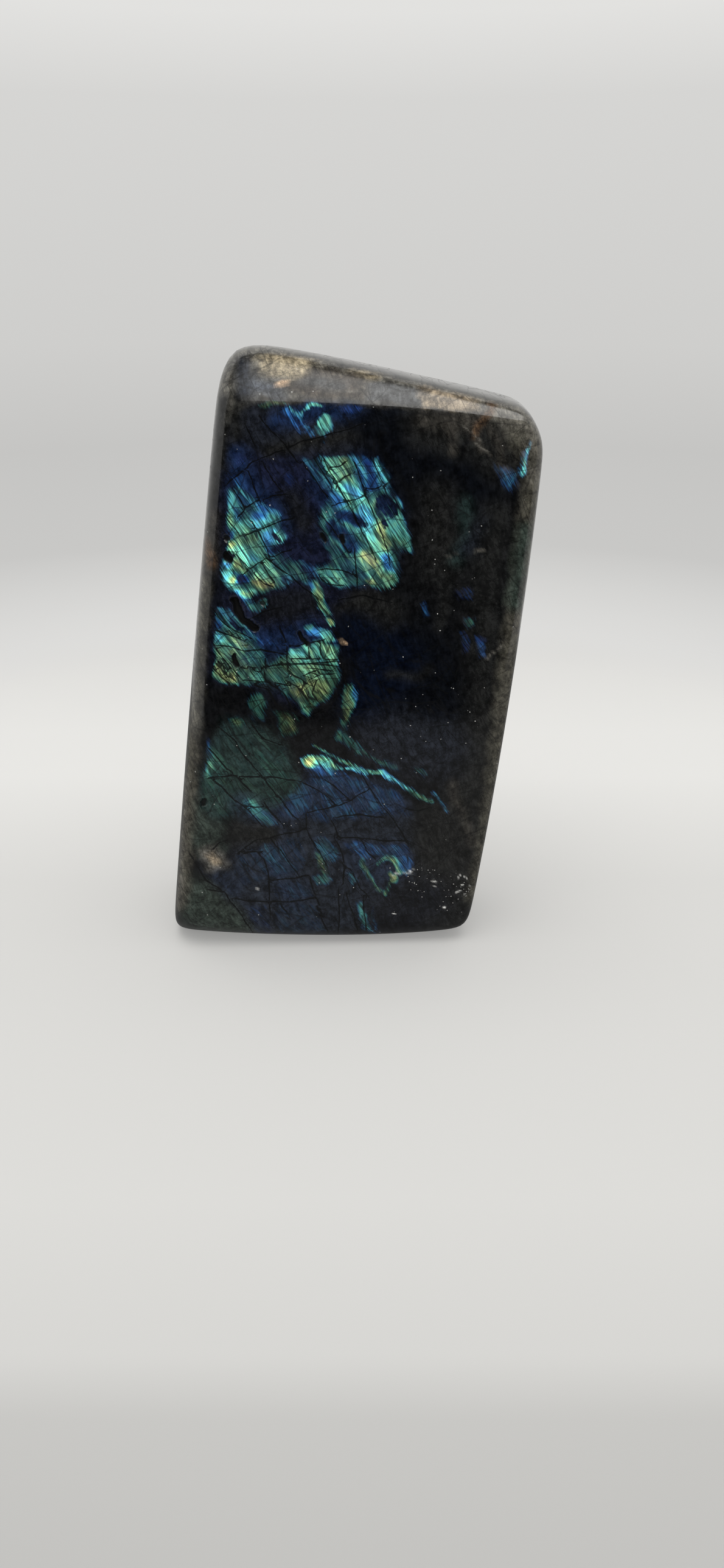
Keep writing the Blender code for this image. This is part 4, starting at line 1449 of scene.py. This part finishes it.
    def fractures(self, sheet: NodeSheet, place: Socket) -> tuple[Socket, Socket, Socket]:
        """Draws the cracks: the long ones that the mesh carries, and two nets of fine ones.

        Args:
            sheet: the material's sheet.
            place: the place on the stone.

        Returns:
            The fine lines, the long ones, and a number for each cell between the fine ones.
        """
        group = fracture_group()
        nets = []
        for turn, (size, width) in ((self.lamella_turn, self.fine_net), (self.cross_turn, self.cross_net)):
            inputs = {"Place": place, "Turn": (0, radians(turn), 0), "Cell size": size, "Width": width}
            nets.append(sheet.add("ShaderNodeGroup", node_tree=group))
            for name, value in inputs.items():
                sheet.feed(nets[-1].inputs[name], value)
        clouds = sheet.noise(place, self.cloud_scale, 3).outputs["Fac"]
        fine = sheet.math("MULTIPLY", nets[0].outputs["Lines"], sheet.step(clouds, *self.cloud_levels))
        fine = sheet.math("MAXIMUM", fine, sheet.math("MULTIPLY", nets[1].outputs["Lines"], self.cross_share))
        frayed = sheet.step(sheet.noise(place, self.fray_scale, 2).outputs["Fac"], *self.fray_levels)
        away = sheet.math("DIVIDE", sheet.math("ABSOLUTE", sheet.attribute("crack")), frayed)
        long = sheet.step(away, self.crack_wide * self.crack_core, self.crack_wide, 1.0, 0.0)
        long = sheet.math("MULTIPLY", long, sheet.attribute("crack_near"))
        return fine, long, nets[0].outputs["Cell"]

    def grain(self, sheet: NodeSheet, place: Socket, turn: float, size: Size) -> Socket:
        """Draws fine grain drawn out along one way.

        Args:
            sheet: the material's sheet.
            place: the place on the stone.
            turn: degrees that its long way leans.
            size: size of a grain in millimetres.

        Returns:
            The grain's socket, from 0 to 1.
        """
        group = bpy.data.node_groups.get(GRAIN_GROUP) or grain_group()
        node = sheet.add("ShaderNodeGroup", node_tree=group)
        sheet.feed(node.inputs["Place"], place)
        sheet.feed(node.inputs["Turn"], (0, radians(turn), 0))
        sheet.feed(node.inputs["Grain size"], size)
        return node.outputs["Grain"]

    def ground_colour(self, sheet: NodeSheet, place: Socket) -> Socket:
        """Colours the stone between its flashes, with mottles and grain.

        Args:
            sheet: the material's sheet.
            place: the place on the stone.

        Returns:
            The ground's colour.
        """
        painted = sheet.add("ShaderNodeAttribute", attribute_name="ground").outputs["Color"]
        mottle = sheet.step(sheet.noise(place, self.mottle_scale, 8, 0.8).outputs["Fac"], *self.mottle_levels)
        streak = self.grain(sheet, place, self.ground_turn, self.ground_grain)
        level = sheet.math("MULTIPLY", mottle, sheet.step(streak, *self.streak_levels))
        return sheet.scaled(painted, sheet.math("MULTIPLY", level, self.lift))

    def shine(self, sheet: NodeSheet, place: Socket, stripes: Socket, cell: Socket, lines: Socket) -> Socket:
        """Colours the flashes: the colour play's painted sheen.

        Args:
            sheet: the material's sheet.
            place: the place on the stone.
            stripes: the fine stripes.
            cell: a number for each cell between the fine cracks.
            lines: the cracks.

        Returns:
            The flashes' colour, black where there is none.
        """
        drift = sheet.math("SUBTRACT", sheet.noise(place, self.drift_scale, 2).outputs["Fac"], 0.5)
        jump = sheet.math("SUBTRACT", cell, 0.5)
        shift = sheet.math("ADD", sheet.math("MULTIPLY", jump, self.hue_jump),
                           sheet.math("MULTIPLY", drift, self.hue_drift))
        hue = sheet.math("ADD", sheet.attribute("hue"), shift, clamp=True)
        colour = sheet.ramp(hue, self.play)
        glow = sheet.math("POWER", sheet.attribute("glow"), self.deepening)
        bright = sheet.math("MULTIPLY", glow, sheet.step(stripes, *self.stripe_levels))
        bright = sheet.math("MULTIPLY", bright, sheet.step(cell, *self.cell_levels))
        left = sheet.math("SUBTRACT", 1.0, sheet.math("MULTIPLY", lines, self.crack_hides))
        bright = sheet.math("MULTIPLY", bright, left)
        ragged = sheet.math("MULTIPLY", sheet.math("SUBTRACT", stripes, 0.5), self.ragged)
        cover = sheet.step(sheet.math("ADD", sheet.attribute("cover"), ragged), *self.cover_shows)
        return sheet.scaled(colour, sheet.math("MULTIPLY", bright, cover))

    def glints(self, sheet: NodeSheet, place: Socket, under: Socket) -> Socket:
        """Scatters painted glints: small bright points.

        Args:
            sheet: the material's sheet.
            place: the place on the stone.
            under: the colour so far.

        Returns:
            The colour with the points on it.
        """
        cells = sheet.add("ShaderNodeTexVoronoi", {"Vector": place, "Scale": self.glint_cells}, feature="F1")
        chance = sheet.add("ShaderNodeSeparateColor", {"Color": cells.outputs["Color"]}).outputs["Red"]
        thick = sheet.math("ADD", sheet.attribute("glint"), self.glint_stray)
        chosen = sheet.math("LESS_THAN", chance, sheet.math("MULTIPLY", thick, self.glint_chance))
        lumps = sheet.math("ADD", sheet.noise(place, 2.1).outputs["Fac"], 0.1)
        near = sheet.step(sheet.math("DIVIDE", cells.outputs["Distance"], lumps), 0.1, 0.5, 1.0, 0.0)
        return sheet.mix(sheet.math("MULTIPLY", chosen, near), under, self.glint)


@dataclass
class PolishedStone:
    """The stone itself: its fine surface, its pits and what is painted on it.

    Attributes:
        camera: the photograph's camera.
        form: the ground shape.
        colour_play: what is painted on it.
        finish: its material.
        cells: squares of the rough box along X, Y and Z.
        face_cuts: how many times each square of the front is cut each way.
        pit_cuts: the same round a pit.
        pit_depth: depth of the deepest pit.
        pit_margin: pixels round a pit that get the finer squares.
        flush: a face further out than this share of the box's half thickness is on its front.
        front_look: how much the surface looks to the front where the front's strokes start to show,
            and where only they show.
    """

    camera: PhotoCamera
    form: StoneForm = StoneForm()
    colour_play: ColourPlay = ColourPlay()
    finish: LabradoriteFinish = LabradoriteFinish()
    cells: tuple[int, int, int] = (56, 26, 90)
    face_cuts: int = 2
    pit_cuts: int = 3
    pit_depth: float = 1.5 * MM
    pit_margin: float = 4.0
    flush: float = 0.999
    front_look: tuple[float, float] = (0.2, 0.45)

    def build(self) -> bpy.types.Object:
        """Makes the stone, painted and dressed.

        Returns:
            The finished object.
        """
        grid = self.box_grid()
        self.refine_pits(grid)
        points = self.form.drawn_in(self.grid_points(grid))
        for vertex, point in zip(grid.verts, points):
            vertex.co = point
        mesh = bpy.data.meshes.new("labradorite_freeform")
        grid.to_mesh(mesh)
        grid.free()
        normals = np.empty(len(mesh.vertices) * 3)
        mesh.vertices.foreach_get("normal", normals)
        normals = normals.reshape(-1, 3)
        self.paint(mesh, points, normals)
        mesh.shade_smooth()
        mesh.materials.append(self.finish.build())
        stone = bpy.data.objects.new("labradorite_freeform", mesh)
        bpy.context.scene.collection.objects.link(stone)
        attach(stone, "root")
        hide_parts(NODE)
        return stone

    def box_grid(self) -> bmesh.types.BMesh:
        """Makes the rough box's grid, with closer squares in front.

        Returns:
            The grid.
        """
        half = self.form.rough_half
        grid = bmesh.new()
        bmesh.ops.create_cube(grid, size=2, matrix=Matrix.Diagonal((*half, 1)))
        for axis, count in enumerate(self.cells):
            runs = {edge: edge.verts[1].co - edge.verts[0].co for edge in grid.edges}
            along = [edge for edge, run in runs.items() if abs(run[axis]) > half[axis]]
            bmesh.ops.subdivide_edges(grid, edges=along, cuts=count - 1)
        front = [face for face in grid.faces if face.calc_center_median().y < -self.flush * half[1]]
        edges = list({edge for face in front for edge in face.edges})
        bmesh.ops.subdivide_edges(grid, edges=edges, cuts=self.face_cuts, use_grid_fill=True)
        return grid

    @staticmethod
    def grid_points(grid: bmesh.types.BMesh) -> Points:
        """Reads the places of a grid's vertices, one a row."""
        return np.array([vertex.co[:] for vertex in grid.verts])

    def refine_pits(self, grid: bmesh.types.BMesh) -> None:
        """Cuts the squares round the pits finer.

        Args:
            grid: the rough box's grid.
        """
        points = self.grid_points(grid)
        pixels = self.camera.pixels_of(self.form.drawn_in(points))
        front = points[:, 1] < 0
        near = np.zeros(len(points), dtype=bool)
        for hollow in PITS:
            near |= front & (hollow.distance(pixels) < self.pit_margin)
        edges = [edge for edge in grid.edges if near[edge.verts[0].index] and near[edge.verts[1].index]]
        bmesh.ops.subdivide_edges(grid, edges=edges, cuts=self.pit_cuts, use_grid_fill=True)

    def paint(self, mesh: bpy.types.Mesh, points: Points, normals: Points) -> None:
        """Sinks the pits and writes the painted values on the mesh.

        Args:
            mesh: the stone's mesh.
            points: the places of its vertices.
            normals: the ways that they look.
        """
        pixels = self.camera.pixels_of(points)
        play = self.colour_play
        front = smooth_step(-normals[:, 1], *self.front_look)
        near = {**play.paint(pixels, play.strokes), **play.crack_sheets(pixels)}
        far = play.paint(pixels, play.back_strokes)
        far["crack"], far["crack_near"] = near["crack"], np.zeros(len(points))
        for name, values in near.items():
            if values.ndim == 2:
                mixed = far[name] + (values - far[name]) * front[:, None]
                full = np.hstack([mixed, np.ones((len(mixed), 1))]).astype(np.float32)
                mesh.attributes.new(name, "FLOAT_COLOR", "POINT").data.foreach_set("color", full.ravel())
            else:
                mixed = far[name] + (values - far[name]) * front
                numbers = mesh.attributes.new(name, "FLOAT", "POINT").data
                numbers.foreach_set("value", mixed.astype(np.float32))
        sunk = points - normals * (near["pit"] * front * self.pit_depth)[:, None]
        mesh.vertices.foreach_set("co", sunk.astype(np.float32).ravel())
        mesh.update()


# A ramp's colours stop at 1, so tones are divided by this before it and multiplied after it.
RAMP_TOP = 2.0


@dataclass
class Studio:
    """A bowl of pale lit card round the stone, with one wide soft light over it.

    Attributes:
        floor_radius: where the floor starts to curve up.
        wall_radius: how far away the wall is.
        wall_height: how high the wall is.
        curve_steps: straight pieces in the curve between floor and wall.
        rounds: pieces round the bowl.
        card: the card's colour, by which the tones are multiplied.
        floor_tones: how light the floor is along Y: painted light and shade of the studio's uneven lighting.
        wall_tones: how light the wall is up it: painted light and shade of the studio's uneven lighting.
        lit_from: where the floor starts to glow by itself, and where the card glows fully.
        floor_albedo: how much of the light that falls on it the floor gives back.
        floor_glow: how much of its own light the floor near the stone gives: painted light that softens the
            stone's shadow.
        mirrored: how much of the floor's light the polished stone mirrors; the rest is painted shade on the
            floor, seen only in reflections.
        dark: the colour of the room beyond the card.
        open_from: how far along Y the card starts to be dark in reflections, on its way to the camera.
        open_soft: how far either side of that the dark takes to come in.
        light_half: half sizes of the soft light.
        light_place: where its middle hangs.
        light_fade: how far from its rim the soft light starts to fade.
        light_leans: how strong its left and its right side are where it lights things.
        mirrored_from: where along X the stone mirrors nothing of it, and where all of it.
        light_strength: how bright it is.
        light_colour: its colour.
    """

    floor_radius: float = 0.30
    wall_radius: float = 0.62
    wall_height: float = 0.95
    curve_steps: int = 16
    rounds: int = 96
    card: Colour = (1.0, 0.995, 0.975)
    floor_tones: tuple[tuple[float, float], ...] = (
        (-0.215, 0.74), (-0.185, 0.79), (-0.172, 0.93), (-0.13, 1.0), (0.02, 1.0), (0.06, 1.06),
        (0.11, 1.14), (0.16, 1.14), (0.25, 1.08), (0.32, 1.0),
    )
    wall_tones: tuple[tuple[float, float], ...] = (
        (0.0, 0.73), (0.03, 0.58), (0.083, 0.56), (0.147, 0.62), (0.246, 0.65), (0.308, 0.67), (0.36, 0.76),
    )
    lit_from: tuple[float, float] = (0.27, 0.34)
    floor_albedo: float = 0.42
    floor_glow: float = 0.25
    mirrored: float = 0.25
    dark: Colour = (0.006, 0.006, 0.007)
    open_from: float = -0.205
    open_soft: float = 0.012
    light_half: tuple[float, float] = (0.66, 0.74)
    light_place: tuple[float, float, float] = (0.1, -0.35, 1.05)
    light_fade: float = 0.26
    light_leans: tuple[float, float] = (1.35, 0.65)
    mirrored_from: tuple[float, float] = (-0.42, 0.4)
    light_strength: float = 3.3
    light_colour: Colour = (1.0, 0.99, 0.97)

    def build(self) -> None:
        """Makes the bowl, the light and the world."""
        bowl = self.bowl()
        self.soft_box()
        self.world()

    def bowl(self) -> bpy.types.Object:
        """Spins the bowl from its profile.

        Returns:
            The bowl's object.
        """
        curve = self.wall_radius - self.floor_radius
        profile = [(0.0, 0.0), (self.floor_radius, 0.0)]
        for step in range(1, self.curve_steps + 1):
            angle = step / self.curve_steps * pi / 2
            profile.append((self.floor_radius + curve * sin(angle), curve * (1 - cos(angle))))
        profile.append((self.wall_radius, self.wall_height))
        spun = bmesh.new()
        verts = [spun.verts.new((radius, 0, height)) for radius, height in profile]
        edges = [spun.edges.new(pair) for pair in zip(verts, verts[1:])]
        bmesh.ops.spin(
            spun, geom=verts + edges, cent=(0, 0, 0), axis=(0, 0, 1), angle=2 * pi,
            steps=self.rounds, use_merge=True,
        )
        bmesh.ops.remove_doubles(spun, verts=spun.verts, dist=0.01 * MM)
        bmesh.ops.recalc_face_normals(spun, faces=spun.faces)
        mesh = bpy.data.meshes.new("pale_bowl")
        spun.to_mesh(mesh)
        spun.free()
        mesh.shade_smooth()
        mesh.materials.append(self.card_finish())
        bowl = bpy.data.objects.new("pale_bowl", mesh)
        bpy.context.scene.collection.objects.link(bowl)
        return bowl

    def card_finish(self) -> bpy.types.Material:
        """Makes the lit card, which is dark in reflections where the real surround is open.

        Returns:
            The card's material.
        """
        material = bpy.data.materials.new("pale_card")
        material.use_nodes = True
        sheet = NodeSheet(material.node_tree)
        material.node_tree.nodes.remove(material.node_tree.nodes["Principled BSDF"])
        metres = sheet.add("ShaderNodeTexCoord").outputs["Object"]
        place = sheet.add("ShaderNodeSeparateXYZ", {0: metres}).outputs
        flat = sheet.vector("MULTIPLY", metres, (1, 1, 0))
        radius = sheet.add("ShaderNodeVectorMath", {0: flat}, operation="LENGTH").outputs["Value"]
        # Painted light and shade: the card's brightness follows the studio's uneven lighting along the floor
        # and up the wall.
        floor_tone = self.tones(sheet, place["Y"], self.floor_tones)
        wall_tone = self.tones(sheet, place["Z"], self.wall_tones)
        given_back = sheet.scaled(self.card, sheet.math("MULTIPLY", floor_tone, self.floor_albedo))
        own_light = sheet.scaled(self.card, sheet.math("MULTIPLY", floor_tone, self.floor_glow))
        matt = sheet.add("ShaderNodeBsdfDiffuse", {"Color": given_back})
        glow = sheet.add("ShaderNodeEmission", {"Color": own_light})
        near = sheet.add("ShaderNodeAddShader", {0: matt.outputs[0], 1: glow.outputs[0]})
        far = sheet.add("ShaderNodeEmission", {"Color": sheet.scaled(self.card, wall_tone)})
        card = sheet.add("ShaderNodeMixShader", {0: sheet.step(radius, *self.lit_from)})
        sheet.feed(card.inputs[1], near.outputs[0])
        sheet.feed(card.inputs[2], far.outputs[0])
        darkest, lightest = self.open_from - self.open_soft, self.open_from + self.open_soft
        opening = sheet.step(place["Y"], darkest, lightest, 1.0, 0.0)
        dimmed = sheet.step(radius, *self.lit_from, 1 - self.mirrored, 0.0)
        opening = sheet.math("MAXIMUM", opening, dimmed)
        mirrored = sheet.add("ShaderNodeLightPath").outputs["Is Glossy Ray"]
        black = sheet.add("ShaderNodeEmission", {"Color": (*self.dark, 1)})
        both = sheet.add("ShaderNodeMixShader", {0: sheet.math("MULTIPLY", opening, mirrored)})
        sheet.feed(both.inputs[1], card.outputs[0])
        sheet.feed(both.inputs[2], black.outputs[0])
        output = material.node_tree.nodes["Material Output"]
        sheet.feed(output.inputs["Surface"], both.outputs[0])
        return material

    @staticmethod
    def tones(sheet: NodeSheet, place: Socket, steps: tuple[tuple[float, float], ...]) -> Socket:
        """Reads how light the card is at a place.

        Args:
            sheet: the material's sheet.
            place: how far along the card the place is.
            steps: places in metres, each with how light the card is there.

        Returns:
            The lightness.
        """
        first, last = steps[0][0], steps[-1][0]
        inputs = {"Value": place, "From Min": first, "From Max": last}
        share = sheet.add("ShaderNodeMapRange", inputs).outputs["Result"]
        stops = tuple(((at - first) / (last - first), (tone / RAMP_TOP,) * 3) for at, tone in steps)
        return sheet.math("MULTIPLY", sheet.ramp(share, stops), RAMP_TOP)

    def soft_box(self) -> bpy.types.Object:
        """Hangs the soft light over the stone: a cloth that glows, less so towards its rim.

        Returns:
            The light's object.
        """
        cloth = bmesh.new()
        size = Matrix.Diagonal((*self.light_half, 1, 1))
        place = Matrix.Translation(self.light_place)
        bmesh.ops.create_grid(cloth, x_segments=1, y_segments=1, size=1, matrix=place @ size)
        mesh = bpy.data.meshes.new("soft_box")
        cloth.to_mesh(mesh)
        cloth.free()
        mesh.materials.append(self.cloth_finish())
        box = bpy.data.objects.new("soft_box", mesh)
        bpy.context.scene.collection.objects.link(box)
        return box

    def cloth_finish(self) -> bpy.types.Material:
        """Makes the soft light's glowing cloth.

        Returns:
            The cloth's material.
        """
        material = bpy.data.materials.new("lit_cloth")
        material.use_nodes = True
        sheet = NodeSheet(material.node_tree)
        material.node_tree.nodes.remove(material.node_tree.nodes["Principled BSDF"])
        metres = sheet.add("ShaderNodeTexCoord").outputs["Object"]
        place = sheet.add("ShaderNodeSeparateXYZ", {0: metres}).outputs
        left = self.light_place[0] - self.light_half[0]
        right = self.light_place[0] + self.light_half[0]
        lights = sheet.step(place["X"], left, right, *self.light_leans)
        mirrors = sheet.step(place["X"], *self.mirrored_from)
        seen = sheet.add("ShaderNodeLightPath").outputs["Is Glossy Ray"]
        change = sheet.math("MULTIPLY", seen, sheet.math("SUBTRACT", mirrors, lights))
        level = sheet.math("MULTIPLY", sheet.math("ADD", lights, change), self.light_strength)
        for axis, middle, half in zip("XY", self.light_place, self.light_half):
            away = sheet.math("ABSOLUTE", sheet.math("SUBTRACT", place[axis], middle))
            level = sheet.math("MULTIPLY", level, sheet.step(away, half - self.light_fade, half, 1.0, 0.0))
        glow = sheet.add("ShaderNodeEmission", {"Color": (*self.light_colour, 1), "Strength": level})
        sheet.feed(material.node_tree.nodes["Material Output"].inputs["Surface"], glow.outputs[0])
        return material

    def world(self) -> None:
        """Fills what the bowl leaves open with a little grey."""
        world = bpy.data.worlds.new("room")
        world.use_nodes = True
        world.node_tree.nodes["Background"].inputs["Color"].default_value = (*self.dark, 1)
        bpy.context.scene.world = world


def main() -> None:
    """Builds the camera, the stone and the studio, and reports each."""
    logging.basicConfig(level=logging.INFO, format="%(name)s: %(message)s")
    camera = PhotoCamera()
    camera.build()
    LOG.info("camera in place")
    stone = PolishedStone(camera).build()
    LOG.info("stone with %d faces", len(stone.data.polygons))
    Studio().build()
    LOG.info("studio lit")
    # The hues are worked out for the plain view, which shows colours as they are.
    bpy.context.scene.view_settings.view_transform = "Standard"


if __name__ == "__main__":
    main()
